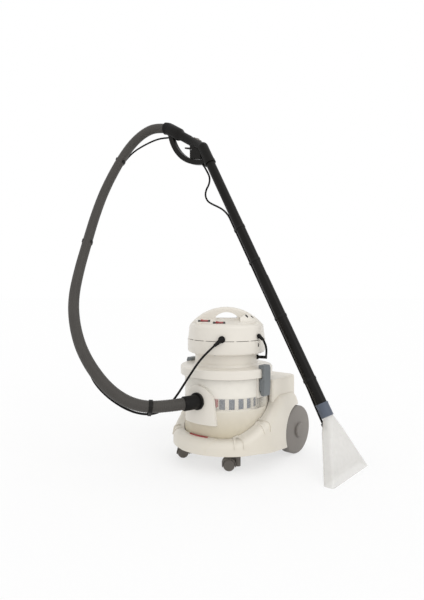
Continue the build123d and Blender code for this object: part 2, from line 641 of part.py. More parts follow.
def head_upper_shell():
    """Top cover: rounded cap, arched carrying handle, switch floor, vents and seam tabs."""
    low = SEAM_BOTTOM + SEAM_GAP
    bend = CAP_EDGE * (1 - math.sqrt(0.5))
    cap = revolve(Plane.XZ * make_face([
        Line((0, low), (CAP_RADIUS, low)), Line((CAP_RADIUS, low), (CAP_TOP_RADIUS, CAP_TOP - CAP_EDGE)),
        ThreePointArc((CAP_TOP_RADIUS, CAP_TOP - CAP_EDGE), (CAP_TOP_RADIUS - bend, CAP_TOP - bend),
                      (CAP_TOP_RADIUS - CAP_EDGE, CAP_TOP)),
        Line((CAP_TOP_RADIUS - CAP_EDGE, CAP_TOP), (0, CAP_TOP)), Line((0, CAP_TOP), (0, low)),
    ]), axis=Axis.Z)
    above = upright(CAP_TOP_RADIUS - 1, CAP_TOP - 10, HANDLE_TOP + 1)
    bar = arched(-HANDLE_HALF_DEPTH, HANDLE_HALF_DEPTH, HANDLE_ROUND, HANDLE_ROUND) & above
    bar = bar - hand_hole()
    mound = arched(-BLOCK_FRONT, HANDLE_HALF_DEPTH - 1, BLOCK_ROUND, HANDLE_ROUND) & above
    slope_top = BLOCK_SHOULDER + BLOCK_SLOPE * (CAP_RADIUS - BLOCK_LEFT)
    shoulder = make_face(Polyline((BLOCK_LEFT, low), (BLOCK_LEFT, BLOCK_SHOULDER), (CAP_RADIUS, slope_top),
                                  (CAP_RADIUS, low), close=True))
    mound = mound & extrude(Plane.XZ * shoulder, amount=CAP_RADIUS, both=True)
    floor = side_plate([(-SCOOP_FRONT, CAP_TOP - 1), (-HANDLE_HALF_DEPTH + 1, CAP_TOP - 1),
                        (-HANDLE_HALF_DEPTH + 1, SCOOP_BACK_HEIGHT), (-SCOOP_FRONT, CAP_TOP)], 130)
    floor = Rot(0, 0, 90) * floor
    rear_floor = Rot(0, 0, 180) * floor
    floors = (floor + rear_floor) & upright(CAP_TOP_RADIUS - CAP_EDGE, 400, 600)
    centre, radius = handle_arch()
    floors = floors & (Pos(0, 0, centre) * rod((0, -130, 0), (0, 130, 0), radius - 2))
    shell = cap + bar + mound + floors
    for place in SWITCH_PLACES:
        pad = Box(BEZEL_LENGTH + 2 * SWITCH_RIM, BEZEL_DEPTH + 2 * SWITCH_RIM, SWITCH_PAD_DEPTH, align=HANGING)
        shell = shell + (switch_plane(place) * Pos(0, 0, SWITCH_SUNK) * pad & above)
    shell = shell - turned([
        (0, low - 1), (CAP_RADIUS - SHELL_WALL, low - 1), (CAP_TOP_RADIUS - SHELL_WALL, CAP_TOP - CAP_EDGE),
        (CAP_TOP_RADIUS - SHELL_WALL - 12, CAP_TOP - SHELL_WALL), (0, CAP_TOP - SHELL_WALL)])
    for place in SWITCH_PLACES:
        shell = shell - switch_plane(place) * Box(ROCKER_LENGTH + 4.6, ROCKER_DEPTH + 3.2, 60)
        shell = shell - switch_plane(place) * Box(BEZEL_LENGTH + 0.5, BEZEL_DEPTH + 0.5, 40, align=SITTING)
    for across, depth in SLOT_PLACES:
        height = mound_height(across, depth)
        shell = shell - Pos(across, depth, height - 6) * Rot(0, 0, -20) * Box(
            9, 6, 40, align=SITTING)
    for i in range(7):
        shell = shell - block((-54 + i * 17, 46, CAP_TOP - 8), (-46 + i * 17, 96, HANDLE_TOP))
    for i in range(SEAM_TABS):
        tab = block((-3.5, -CAP_RADIUS + 0.2, SEAM_BOTTOM), (3.5, -CAP_RADIUS + SHELL_WALL - 0.2, low + 1))
        shell = shell + Rot(0, 0, 11 + i * 360 / SEAM_TABS) * tab
    return head_turn(shell) - gland_holes()


def mound_height(across, depth):
    """Height of the right-hand mound's skin at a place in the head's frame."""
    centre, radius = handle_arch()
    turn = depth + BLOCK_FRONT - BLOCK_ROUND
    reach = radius - BLOCK_ROUND + math.sqrt(BLOCK_ROUND ** 2 - min(turn, 0) ** 2)
    return centre + math.sqrt(reach ** 2 - across ** 2)


def hand_hole():
    """Rounded opening under the handle bar."""
    half, low, high = HAND_HOLE_HALF, HAND_HOLE_BOTTOM, HAND_HOLE_TOP
    outline = make_face([
        Line((-half, low), (half, low)), Line((half, low), (half, low + 6)),
        ThreePointArc((half, low + 6), (0, high), (-half, low + 6)), Line((-half, low + 6), (-half, low)),
    ])
    return extrude(Plane.XZ * outline, amount=60, both=True)


def switch_plane(place):
    """The tilted plane of a switch, sunk in the scoop's floor, in the head's frame."""
    across, back = place
    run = SCOOP_FRONT - HANDLE_HALF_DEPTH
    rise = SCOOP_BACK_HEIGHT - CAP_TOP
    height = CAP_TOP + rise * (SCOOP_FRONT - back) / run
    normal = Vector(0, -rise, run).normalized()
    origin = Vector(across, -back, height) - normal * SWITCH_SUNK
    return Plane(origin=origin, x_dir=(1, 0, 0), z_dir=normal)


def switch_bezels():
    frames = []
    for place in SWITCH_PLACES:
        frame = Box(BEZEL_LENGTH, BEZEL_DEPTH, BEZEL_THICKNESS, align=SITTING)
        frame = chamfer(frame.faces().sort_by(Axis.Z)[-1].edges(), 1)
        frame = frame - Pos(0, 0, BEZEL_RAIL) * Box(
            ROCKER_LENGTH + 2.6, BEZEL_DEPTH + 2, 10, align=SITTING)
        frame = frame - Box(ROCKER_LENGTH + 2.6, ROCKER_DEPTH + 1, 20)
        sides = Box(ROCKER_LENGTH + 4.2, ROCKER_DEPTH + 2.6, 9, align=HANGING)
        frame = frame + (sides - Box(ROCKER_LENGTH + 2.6, ROCKER_DEPTH + 1, 40))
        frame = frame - rod((0, -40, -3), (0, 40, -3), 1.55)
        frames.append(head_turn(switch_plane(place) * frame))
    return Compound(frames)


def rocker(place):
    """Rocker key on its own cross pin, one end pressed."""
    key = Box(ROCKER_LENGTH, ROCKER_DEPTH, ROCKER_HEIGHT, align=SITTING)
    dish = Pos(0, 0, ROCKER_HEIGHT + 58) * rod((0, -20, 0), (0, 20, 0), 59.5)
    key = Pos(0, 0, -2.5) * (key - dish)
    key = key + rod((0, -ROCKER_DEPTH / 2 - 1.2, 0), (0, ROCKER_DEPTH / 2 + 1.2, 0), 1.5)
    key = Pos(0, 0, -3) * Rot(0, ROCKER_TILT, 0) * key
    return head_turn(switch_plane(place) * key)


def seam_ring():
    """Dark joint ring behind the slit between the two head shells."""
    inner = SKIRT_RADIUS - SHELL_WALL - 4.5
    return upright(inner + 2.2, 401.8, SEAM_BOTTOM + SEAM_GAP + 7) - upright(inner, 400, 430) - gland_holes()


def motor_deck():
    return upright(SKIRT_RADIUS - SHELL_WALL - 0.3, 398.3, 401.8) - upright(14, 390, 410)


def fan_housing():
    """Pressed casing round the fan, standing on the neck's ledge."""
    outer = NECK_RADIUS - SHELL_WALL - 0.3
    base = FLANGE_TOP + 7
    return turned([(24, base), (outer, base), (outer, base + 28), (46, base + 28), (46, base + 26),
                   (outer - 2, base + 26), (outer - 2, base + 2), (24, base + 2)])


def motor_body():
    """Fan motor can with its top bearing boss."""
    base = FLANGE_TOP + 35
    can = upright(56, base, 398.3) - upright(4 + RUNNING_GAP, base - 1, base + 30)
    return can


def fan_rotor():
    """Shaft and fan wheel with its blades."""
    base = FLANGE_TOP + 7
    wheel_plate = upright(84, base + 20, base + 22) - upright(2, 0, 500)
    eye = upright(84, base + 6, base + 7.5) - upright(30, 0, 500)
    blades = None
    for i in range(9):
        blade = block((30, -0.8, base + 7.4), (84, 0.8, base + 20.2))
        blade = Rot(0, 0, i * 40) * Pos(0, 6, 0) * Rot(0, 0, -14) * blade
        blade = blade & upright(84, 0, 500)
        blades = blade if blades is None else blades + blade
    shaft = upright(4, base + 4, FLANGE_TOP + 60)
    return wheel_plate + eye + blades + shaft


def pump_body():
    """Solution pump on the motor deck."""
    base = 401.8
    body = block((-34, 34, base), (34, 74, base + 34))
    body = fillet(body.edges().filter_by(Axis.Z), 6)
    ports = rod((0, 54, base + 34), (0, 54, base + 44), 6)
    return head_turn(body + ports)


def tube_fitting():
    """Barbed elbow on the neck that takes the tank tube."""
    out, lift = around(FITTING_ANGLE), Vector(0, 0, FITTING_HEIGHT)
    end = Vector(*TANK_ROUTE[-1])
    body = rod(out * (NECK_RADIUS - 3.2) + lift, out * (NECK_RADIUS + 22) + lift, 5)
    body = body + rod(out * (NECK_RADIUS + 0.3) + lift, out * (NECK_RADIUS + 5) + lift, 8)
    knee = out * (NECK_RADIUS + 22) + lift
    spout = rod(knee, end + (end - knee).normalized() * 2, 5) & behind(TANK_ROUTE[-1], TANK_ROUTE[-2])
    return body + Pos(*knee) * Sphere(5) + spout


def solution_tank():
    """Clean-water tank wrapped round the back of the drum, on the rear deck."""
    outline = make_face(Polyline((-TANK_HALF_WIDTH, TANK_FRONT), (TANK_HALF_WIDTH, TANK_FRONT),
                                 (TANK_HALF_WIDTH, TANK_REAR), (-TANK_HALF_WIDTH, TANK_REAR), close=True))
    outline = fillet([v for v in outline.vertices() if v.Y > TANK_FRONT + 1], 24)
    outline = fillet([v for v in outline.vertices() if v.Y < TANK_FRONT + 1], 8)
    body = Pos(0, 0, 120) * extrude(outline, amount=TANK_TOP - 120)
    body = fillet(body.faces().sort_by(Axis.Z)[-1].edges(), TANK_ROUND)
    inside = Pos(0, 0, 120) * extrude(offset(outline, -TANK_WALL), amount=TANK_TOP - 120 - TANK_WALL)
    reach = DRUM_RADIUS + 6
    body = body - upright(reach, 0, 500) - chassis_form(0.3)
    inside = inside - upright(reach + TANK_WALL, 0, 500) - chassis_form(TANK_WALL + 0.3)
    neck = Pos(0, 185, 0) * upright(19, TANK_TOP - 1, TANK_TOP + 7)
    mouth = Pos(0, 185, 0) * upright(15, TANK_TOP - 10, TANK_TOP + 20)
    body = body + neck - inside - mouth
    return Compound([max(body.solids(), key=lambda s: s.volume)])


def tank_cap():
    """Quarter-turn filler cap with finger ribs."""
    base = TANK_TOP
    cap = Pos(0, 185, 0) * (upright(24, base + 0.3, base + 13) - upright(19.3, base - 1, base + 7.3))
    rib = Pos(0, 185, 0) * block((-20, -3, base + 12), (20, 3, base + 19))
    return cap + rib


def latch_bracket(side):
    """White bracket on the drum that carries a latch's pin."""
    pad = upright(DRUM_RADIUS + 4, 226, FLANGE_BOTTOM - 1) - upright(DRUM_RADIUS + 0.05, 200, 300)
    pad = pad & block((100, -21, 200), (200, 21, 300))
    lug = rod((LATCH_PIVOT_X, -12, LATCH_PIVOT_Z), (LATCH_PIVOT_X, 12, LATCH_PIVOT_Z), 5.2)
    lug = lug + block((DRUM_RADIUS + 2, -12, LATCH_PIVOT_Z - 5.2), (LATCH_PIVOT_X, 12, LATCH_PIVOT_Z + 5.2))
    lug = lug - rod((LATCH_PIVOT_X, -30, LATCH_PIVOT_Z), (LATCH_PIVOT_X, 30, LATCH_PIVOT_Z), LATCH_PIN_RADIUS)
    return Rot(0, 0, 0 if side > 0 else 180) * (pad + lug)


def latch(side):
    """Over-centre latch: face plate, side cheeks and the hook over the lid flange."""
    hook_low = FLANGE_TOP + 0.9
    face = side_plate([(158, LATCH_BOTTOM), (164, LATCH_BOTTOM), (LATCH_FACE, 262), (LATCH_FACE, 322),
                       (162, LATCH_TOP), (143.5, LATCH_TOP), (143.5, hook_low), (158, hook_low)],
                      LATCH_HALF_WIDTH)
    cheek = side_plate([(154, LATCH_BOTTOM + 1), (160, LATCH_BOTTOM), (160, 288), (147.5, 286), (147, 250),
                        (150, LATCH_PIVOT_Z - 6)], LATCH_HALF_WIDTH)
    cheeks = cheek - block((100, -LATCH_HALF_WIDTH + 4, 0), (158, LATCH_HALF_WIDTH - 4, 400))
    body = face + cheeks
    body = body - rod((LATCH_PIVOT_X, -30, LATCH_PIVOT_Z), (LATCH_PIVOT_X, 30, LATCH_PIVOT_Z),
                      LATCH_PIN_RADIUS + RUNNING_GAP)
    return Rot(0, 0, 0 if side > 0 else 180) * body


def latch_pins():
    pins = []
    for side in (-1, 1):
        pins.append(rod((side * LATCH_PIVOT_X, -17.2, LATCH_PIVOT_Z), (side * LATCH_PIVOT_X, 17.2, LATCH_PIVOT_Z),
                        LATCH_PIN_RADIUS))
    return Compound(pins)


def route_path(points):
    """Straight runs joined by the largest tangent arcs the runs allow; prints the radii."""
    knots = [Vector(*p) for p in points]
    radii = []
    for before, here, after in zip(knots, knots[1:], knots[2:]):
        a, b = here - before, after - here
        turn = math.radians(a.get_angle(b))
        radii.append(0.45 * min(a.length, b.length) / math.tan(turn / 2))
    return FilletPolyline(*knots, radius=radii), radii


def swept_tube(name, points, radius):
    """A plain round tube along a route, with its length, radii and volume check printed."""
    path, radii = route_path(points)
    wire = path.wire() if hasattr(path, "wire") else path
    start = Plane(origin=wire @ 0, z_dir=wire % 0)
    solid = sweep(start * Circle(radius), path=wire)
    share = solid.volume / (math.pi * radius ** 2 * wire.length)
    print(f"{name}: length {wire.length:.0f} mm, volume ratio {share:.4f}, least radius {min(radii):.0f} mm")
    print("  radii", [round(r) for r in radii])
    return solid


def ribbed_hose():
    """Corrugated hose: a ruled loft through four circles to each rib, with a plain bore."""
    path, radii = route_path(HOSE_ROUTE)
    wire = path.wire() if hasattr(path, "wire") else path
    length = wire.length
    straight = 2 * HOSE_RADIUS
    pitch = (length - 2 * straight) / HOSE_RIBS
    stations = [(0.0, HOSE_VALLEY_RADIUS)]
    for i in range(HOSE_RIBS):
        base = straight + i * pitch
        for share, radius in ((0.10, HOSE_VALLEY_RADIUS), (0.30, HOSE_RADIUS), (0.70, HOSE_RADIUS),
                              (0.90, HOSE_VALLEY_RADIUS)):
            stations.append((base + share * pitch, radius))
    stations.append((length, HOSE_VALLEY_RADIUS))
    steady = Vector(0.6361, -0.7716, 0)
    rings = []
    for place, radius in stations:
        share = place / length
        ahead = wire % share
        across = steady - ahead * steady.dot(ahead)
        rings.append(Plane(origin=wire @ share, x_dir=across, z_dir=ahead) * Circle(radius))
    outside = loft(rings, ruled=True)
    start = Plane(origin=wire @ 0, z_dir=wire % 0)
    bore = sweep(start * Circle(HOSE_BORE_RADIUS), path=wire)
    print(f"suction hose: length {length:.0f} mm, {HOSE_RIBS} ribs, least radius {min(radii):.0f} mm")
    print("  radii", [round(r) for r in radii])
    return outside - bore


def wand_axis(distance):
    """A point on the wand's axis, measured up from its foot."""
    lean = math.radians(WAND_LEAN)
    return Vector(WAND_FOOT_X - distance * math.sin(lean), WAND_Y, WAND_FOOT_Z + distance * math.cos(lean))


def beside_wand(distance, offset):
    """A point under the wand, at a distance up it and an offset from its axis."""
    lean = math.radians(WAND_LEAN)
    return wand_axis(distance) + Vector(-math.cos(lean), 0, -math.sin(lean)) * offset


def grip_axis(distance):
    """A point on the grip's axis, measured from the elbow."""
    slope = math.radians(GRIP_ANGLE)
    return wand_axis(WAND_LENGTH) + Vector(-math.cos(slope), 0, math.sin(slope)) * distance


def wand_handle():
    """Grip, elbow and socket with the trigger guard."""
    elbow = wand_axis(WAND_LENGTH)
    body = rod(elbow, grip_axis(GRIP_LENGTH), GRIP_RADIUS) + Pos(*elbow) * Sphere(20.5)
    widen = grip_axis(GRIP_LENGTH - GRIP_END_LENGTH)
    body = body + rod(widen, grip_axis(GRIP_LENGTH), GRIP_END_RADIUS)
    body = body + Plane(origin=widen, z_dir=elbow - widen) * Cone(
        GRIP_END_RADIUS, GRIP_RADIUS, 16, align=SITTING)
    body = body + rod(elbow, wand_axis(WAND_LENGTH - SOCKET_LENGTH), 20.5)
    body = body + rod(wand_axis(WAND_LENGTH - SOCKET_LENGTH + 12), wand_axis(WAND_LENGTH - SOCKET_LENGTH), 21.8)
    guard = make_face([
        ThreePointArc((-376, 1194), (-301, 1082), (-188, 1049)), Line((-188, 1049), (-188, 1066)),
        ThreePointArc((-188, 1066), (-288, 1097), (-354, 1190)), Line((-354, 1190), (-376, 1194)),
    ])
    guard = Pos(0, WAND_Y, 0) * extrude(Plane.XZ * guard, amount=9, both=True)
    body = body + guard
    hollow = rod(elbow, grip_axis(GRIP_LENGTH + 1), 14.5) + Pos(*elbow) * Sphere(14.5)
    hollow = hollow + rod(elbow, wand_axis(WAND_LENGTH - SOCKET_LENGTH - 1), 14.5)
    hollow = hollow + rod(wand_axis(WAND_LENGTH - SOCKET_LENGTH + 30), wand_axis(WAND_LENGTH - SOCKET_LENGTH - 1),
                          UPPER_TUBE_RADIUS)
    start, after = (Vector(*p) for p in wand_tube_route()[:2])
    body = body + rod(start - (after - start).normalized() * 20, start, 4.6)
    body = body - hollow
    return body - slider_plane() * block((-22, -8, 16.4), (40, 8, 40))


def slider_plane():
    """Frame on the grip's axis with its local z square to the grip's top."""
    centre = grip_axis(42)
    along = (grip_axis(1) - grip_axis(0)).normalized()
    return Plane(origin=centre, x_dir=along, z_dir=Vector(-along.Z, 0, along.X) * -1)


def air_slider():
    """Grey suction-release slide on top of the grip."""
    plate = block((-16, -6.5, 16.5), (16, 6.5, 19.5))
    plate = plate + block((-3, -6.5, 19), (3, 6.5, 21.5))
    return slider_plane() * plate


def handle_cuff():
    """Bent cuff from the grip to the hose."""
    cuff = bent_cuff([grip_axis(GRIP_LENGTH), grip_axis(GRIP_LENGTH + 13), HOSE_ROUTE[-1]], GRIP_END_RADIUS - 0.5)
    return cuff & behind(HOSE_ROUTE[-1], HOSE_ROUTE[-2])


def trigger_valve(handle):
    """Spray valve block between the grip and the guard."""
    body = side_plate([(-256, 1079), (-200, 1068), (-205, 1100), (-256, 1132)], 11, WAND_Y)
    slot = side_plate([(-270, 1090), (-242, 1090), (-242, 1140), (-270, 1140)], 6.5, WAND_Y)
    body = body - handle - slot
    body = body - rod((-250, WAND_Y - 30, 1112), (-250, WAND_Y + 30, 1112), 2.0)
    return Compound([max(body.solids(), key=lambda s: s.volume)])


def trigger_lever():
    """Finger lever on the valve's pin."""
    lever = side_plate([(-246, 1108), (-253, 1107), (-264, 1118), (-288, 1124), (-287, 1129), (-262, 1124),
                        (-250, 1117), (-245, 1114)], 5.5, WAND_Y)
    return lever - rod((-250, WAND_Y - 30, 1112), (-250, WAND_Y + 30, 1112), 2.0 + RUNNING_GAP)


def trigger_pin():
    return rod((-250, WAND_Y - 10.5, 1112), (-250, WAND_Y + 10.5, 1112), 2.0)


def wand_tube_route():
    """Free loop below the handle, then close along the wand to the nozzle's jet."""
    loop = ((64, 30), (91, 27.5), (121, 27), (142, 43), (151, 66),
            (169, 80), (194, 80), (218, 65), (242, 47), (266, 32))
    free = [beside_wand(WAND_LENGTH - down, offset) for down, offset in loop]
    held = [beside_wand(d, TUBE_OFFSET) for d in (WAND_LENGTH - TUBE_HELD_FROM, COLLAR_LENGTH + 50)]
    last = [beside_wand(COLLAR_LENGTH + 6, TUBE_OFFSET + TUBE_STEP_OUT),
            beside_wand(-14, TUBE_OFFSET + TUBE_STEP_OUT + 1)]
    return [(p.X, p.Y, p.Z) for p in free + held + last]


def wand_upper_tube():
    low, high = COLLAR_LENGTH + LOWER_TUBE_LENGTH - 60, WAND_LENGTH - SOCKET_LENGTH + 29
    return rod(wand_axis(low), wand_axis(high), UPPER_TUBE_RADIUS) - rod(
        wand_axis(low - 1), wand_axis(high + 1), UPPER_TUBE_RADIUS - 1.5)


def wand_lower_tube():
    low, high = 12, COLLAR_LENGTH + LOWER_TUBE_LENGTH - 30
    body = rod(wand_axis(low), wand_axis(high), LOWER_TUBE_RADIUS)
    body = body - rod(wand_axis(low - 1), wand_axis(high + 1), LOWER_TUBE_RADIUS - 2)
    return body - rod(wand_axis(high - 30), wand_axis(high + 1), UPPER_TUBE_RADIUS)


def nozzle_collar():
    """Blue-grey locking collar between the wand and the nozzle."""
    body = rod(wand_axis(0), wand_axis(COLLAR_LENGTH), LOWER_TUBE_RADIUS + 2.2)
    body = body + rod(wand_axis(COLLAR_LENGTH - 5), wand_axis(COLLAR_LENGTH), LOWER_TUBE_RADIUS + 2.8)
    return body - rod(wand_axis(-1), wand_axis(COLLAR_LENGTH + 1), LOWER_TUBE_RADIUS)


def nozzle_body():
    """Clear fishtail nozzle: round neck to a long flat mouth."""
    def sections(inset):
        neck = LOWER_TUBE_RADIUS * 2 + 1.4 - 2 * inset
        lean = math.radians(WAND_LEAN)
        up = Vector(-math.sin(lean), 0, math.cos(lean))
        top = Plane(origin=wand_axis(-6), x_dir=(math.cos(lean), 0, math.sin(lean)), z_dir=up)
        mid = Plane(origin=(337, WAND_Y, 128), x_dir=(1, 0, 0.2), z_dir=(-0.2, 0, 1))
        low = Plane(origin=(NOZZLE_MOUTH_X, WAND_Y, 0), x_dir=(1, 0, 0), z_dir=(0, 0, 1))
        return [low * RectangleRounded(NOZZLE_MOUTH_DEPTH - 2 * inset, NOZZLE_WIDTH - 2 * inset, 9 - inset),
                mid * RectangleRounded(37 - 2 * inset, 92 - 2 * inset, 12 - inset),
                top * RectangleRounded(neck, neck, neck / 2 - 1.0)]
    outer = loft(sections(0), ruled=True) + rod(wand_axis(-6), wand_axis(11.5), LOWER_TUBE_RADIUS - 0.1)
    inner = loft(sections(NOZZLE_WALL), ruled=True)
    inner = inner + rod(wand_axis(-8), wand_axis(13), LOWER_TUBE_RADIUS - NOZZLE_WALL)
    half_deep, half_wide = NOZZLE_MOUTH_DEPTH / 2 - NOZZLE_WALL, NOZZLE_WIDTH / 2 - NOZZLE_WALL - 6
    lip = block((NOZZLE_MOUTH_X - half_deep, WAND_Y - half_wide, -1),
                (NOZZLE_MOUTH_X + half_deep, WAND_Y + half_wide, 3))
    return outer - inner - lip


def nozzle_jet(nozzle):
    """Spray jet body on the back of the nozzle where the wand's tube ends."""
    end = Vector(*wand_tube_route()[-1])
    before = Vector(*wand_tube_route()[-2])
    way = (end - before).normalized()
    body = rod(end, end + way * 22, 6.5) + rod(end + way * 12, Vector(330, WAND_Y, 135), 6)
    return Compound([max((body - nozzle - nozzle_core()).solids(), key=lambda s: s.volume)])


def nozzle_core():
    """The clear space inside the nozzle, kept free of the jet."""
    lean = math.radians(WAND_LEAN)
    up = Vector(-math.sin(lean), 0, math.cos(lean))
    top = Plane(origin=wand_axis(20), x_dir=(math.cos(lean), 0, math.sin(lean)), z_dir=up)
    mid = Plane(origin=(337, WAND_Y, 128), x_dir=(1, 0, 0.2), z_dir=(-0.2, 0, 1))
    return loft([mid * RectangleRounded(34, 88, 9), top * RectangleRounded(34, 34, 16)], ruled=True)


def hull_band(place, ahead, towards, hose_radius, tube_gap, width, slack, wall):
    """A strap round a large tube and the small tube beside it."""
    across = (towards - ahead * towards.dot(ahead)).normalized()
    plane = Plane(origin=place - ahead * (width / 2), x_dir=across, z_dir=ahead)
    big = Circle(hose_radius + wall)
    small = Pos(tube_gap, 0) * Circle(TUBE_RADIUS + slack + min(wall, STRAP_TUBE_WALL))
    outline = make_hull((big + small).edges())
    band = extrude(plane * outline, amount=width)
    return band - extrude(plane * Circle(hose_radius + 0.1), amount=width) - extrude(
        plane * (Pos(tube_gap, 0) * Circle(TUBE_RADIUS + slack)), amount=width)


def hose_straps():
    """A strap and two open clips that hold the solution tube to the hose."""
    hose, _ = route_path(HOSE_ROUTE)
    spray, _ = route_path(SPRAY_ROUTE)
    hose, spray = hose.wire(), spray.wire()
    bands = []
    for share in STRAP_SHARES:
        place, ahead = hose @ share, hose % share
        best = min((spray @ (i / 600) for i in range(601)), key=lambda p: (p - place).length)
        towards = best - place
        flat = towards - ahead * towards.dot(ahead)
        band = hull_band(place, ahead, flat, HOSE_RADIUS, flat.length, STRAP_WIDTH, STRAP_SLACK, STRAP_WALL)
        if share != STRAP_SHARES[0]:
            away = Plane(origin=place - flat.normalized() * (CLIP_OPENING * HOSE_RADIUS), z_dir=-flat)
            band = band - away * Box(4 * HOSE_RADIUS, 4 * HOSE_RADIUS, 2 * HOSE_RADIUS, align=SITTING)
        bands.append(band)
    return Compound(bands)


def wand_clips():
    """Clips that hold the tube along the wand."""
    bands = []
    lean = math.radians(WAND_LEAN)
    under = Vector(-math.cos(lean), 0, -math.sin(lean))
    up = Vector(-math.sin(lean), 0, math.cos(lean))
    joint = COLLAR_LENGTH + LOWER_TUBE_LENGTH - 30
    top = WAND_LENGTH - TUBE_HELD_FROM
    for distance, radius in ((0.25 * joint, LOWER_TUBE_RADIUS), (0.70 * joint, LOWER_TUBE_RADIUS),
                             (0.75 * joint + 0.25 * top, UPPER_TUBE_RADIUS),
                             (0.25 * joint + 0.75 * top, UPPER_TUBE_RADIUS)):
        bands.append(hull_band(wand_axis(distance), up, under, radius, TUBE_OFFSET, CLIP_WIDTH, 0.4, CLIP_WALL))
    return Compound(bands)


def head_screws():
    """Screws up through the skirt into the head."""
    screws = []
    for i in range(4):
        angle = 20 + i * 90
        place = around(angle) * 117
        screw = Pos(place.X, place.Y, 0) * upright(3.6, SKIRT_BOTTOM - 1.6, SKIRT_BOTTOM)
        screws.append(screw)
    return Compound(screws)


def main():
    os.makedirs("parts", exist_ok=True)
    handle = wand_handle()
    nozzle = nozzle_body()
    pieces = {
        "chassis": chassis(), "front_strip": front_strip(), "wheel_axle": wheel_axle(),
        "drum": drum(), "inlet_shield": inlet_shield(), "inlet_spigot": inlet_spigot(),
        "machine_cuff": machine_cuff(),
        "filter_basket": filter_basket(), "float_block": float_block(), "filter_cartridge": filter_cartridge(),
        "drum_seal": drum_seal(), "head_lower_shell": head_lower_shell(), "head_upper_shell": head_upper_shell(),
        "seam_ring": seam_ring(), "switch_bezels": switch_bezels(), "motor_deck": motor_deck(),
        "fan_housing": fan_housing(), "motor_body": motor_body(), "fan_rotor": fan_rotor(),
        "pump_body": pump_body(), "tube_fitting": tube_fitting(), "solution_tank": solution_tank(),
        "tank_cap": tank_cap(), "latch_pins": latch_pins(), "head_screws": head_screws(),
        "wand_handle": handle, "handle_cuff": handle_cuff(), "trigger_valve": trigger_valve(handle),
        "trigger_lever": trigger_lever(), "trigger_pin": trigger_pin(),
        "air_slider": air_slider(), "wand_upper_tube": wand_upper_tube(), "wand_lower_tube": wand_lower_tube(),
        "nozzle_collar": nozzle_collar(), "nozzle_body": nozzle, "nozzle_jet": nozzle_jet(nozzle),
        "wand_clips": wand_clips(), "hose_straps": hose_straps(), "suction_hose": ribbed_hose(),
        "spray_tube": swept_tube("spray tube", SPRAY_ROUTE, TUBE_RADIUS),
        "tank_tube": swept_tube("tank tube", TANK_ROUTE, TUBE_RADIUS),
        "wand_tube": swept_tube("wand tube", wand_tube_route(), TUBE_RADIUS),
    }
    for name in GLANDS:
        pieces[name] = gland(name)
    for place, name in zip(SWITCH_PLACES, ("rocker_suction", "rocker_spray")):
        pieces[name] = rocker(place)
    for side, name in ((-1, "left"), (1, "right")):
        pieces["wheel_" + name] = wheel(side)
        pieces["hub_cap_" + name] = hub_cap(side)
        pieces["caster_yoke_" + name] = caster_yoke(side)
        pieces["caster_wheels_" + name] = caster_wheels(side)
        pieces["latch_bracket_" + name] = latch_bracket(side)
        pieces["latch_" + name] = latch(side)
    for name, shape in pieces.items():
        save(name, shape)
    print(len(pieces), "nodes")


main()
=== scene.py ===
import bmesh
import bpy
import json
import math
from mathutils import Euler, Matrix, Vector


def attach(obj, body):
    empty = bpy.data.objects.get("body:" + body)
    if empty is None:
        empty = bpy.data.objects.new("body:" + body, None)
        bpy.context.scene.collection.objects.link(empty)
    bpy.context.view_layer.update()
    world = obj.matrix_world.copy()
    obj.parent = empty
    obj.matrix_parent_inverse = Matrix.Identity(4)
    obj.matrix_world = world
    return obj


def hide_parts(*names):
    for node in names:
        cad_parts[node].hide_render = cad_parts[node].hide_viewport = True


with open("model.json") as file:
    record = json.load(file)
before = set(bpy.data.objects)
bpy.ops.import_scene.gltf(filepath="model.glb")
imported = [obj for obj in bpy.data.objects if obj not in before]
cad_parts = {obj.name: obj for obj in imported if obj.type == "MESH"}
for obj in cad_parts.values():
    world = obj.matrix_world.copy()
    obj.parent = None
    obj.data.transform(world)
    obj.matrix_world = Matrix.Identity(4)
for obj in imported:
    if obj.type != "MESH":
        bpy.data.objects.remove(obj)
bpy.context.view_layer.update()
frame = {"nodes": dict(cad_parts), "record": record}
nodes = frame["nodes"]
slotOf = {row["node"]: row["material_slot"] for row in frame["record"]["subparts"]}
bodyOf = {node: body for body, members in frame["record"]["behaviour"]["bodies"].items() for node in members}
print("frame loaded:", len(nodes), "pieces")

# camera as the photograph was taken: level, a little above the drum's lid
camera = {"place": (1.0436, -1.3429, 0.575), "turn": 39.5, "lens": 30.0, "film": 36.0, "drop": -0.0192,
          "sight": 30.0}


def makeCamera(spec):
    data = bpy.data.cameras.new("photoCamera")
    data.sensor_width = spec["film"]
    data.lens = spec["lens"]
    data.shift_y = spec["drop"]
    data.clip_end = spec["sight"]
    eye = bpy.data.objects.new("photoCamera", data)
    eye.location = spec["place"]
    eye.rotation_euler = (math.radians(90), 0, math.radians(spec["turn"]))
    bpy.context.scene.collection.objects.link(eye)
    bpy.context.scene.camera = eye


makeCamera(camera)
print("camera set")


def hexLinear(text):
    parts = [int(text[i:i + 2], 16) / 255 for i in (1, 3, 5)]
    return tuple(p / 12.92 if p <= 0.04045 else ((p + 0.055) / 1.055) ** 2.4 for p in parts) + (1.0,)


def put(tree, kind, inputs=(), **settings):
    node = tree.nodes.new(kind)
    for name, value in settings.items():
        setattr(node, name, value)
    byIdentifier = {socket.identifier: socket for socket in node.inputs}
    for key, value in dict(inputs).items():
        socket = byIdentifier.get(key) or node.inputs[key]
        if isinstance(value, bpy.types.NodeSocket):
            tree.links.new(value, socket)
        else:
            socket.default_value = value
    return node


def freshMaterial(name):
    material = bpy.data.materials.new(name)
    material.use_nodes = True
    material.node_tree.nodes.clear()
    return material, material.node_tree


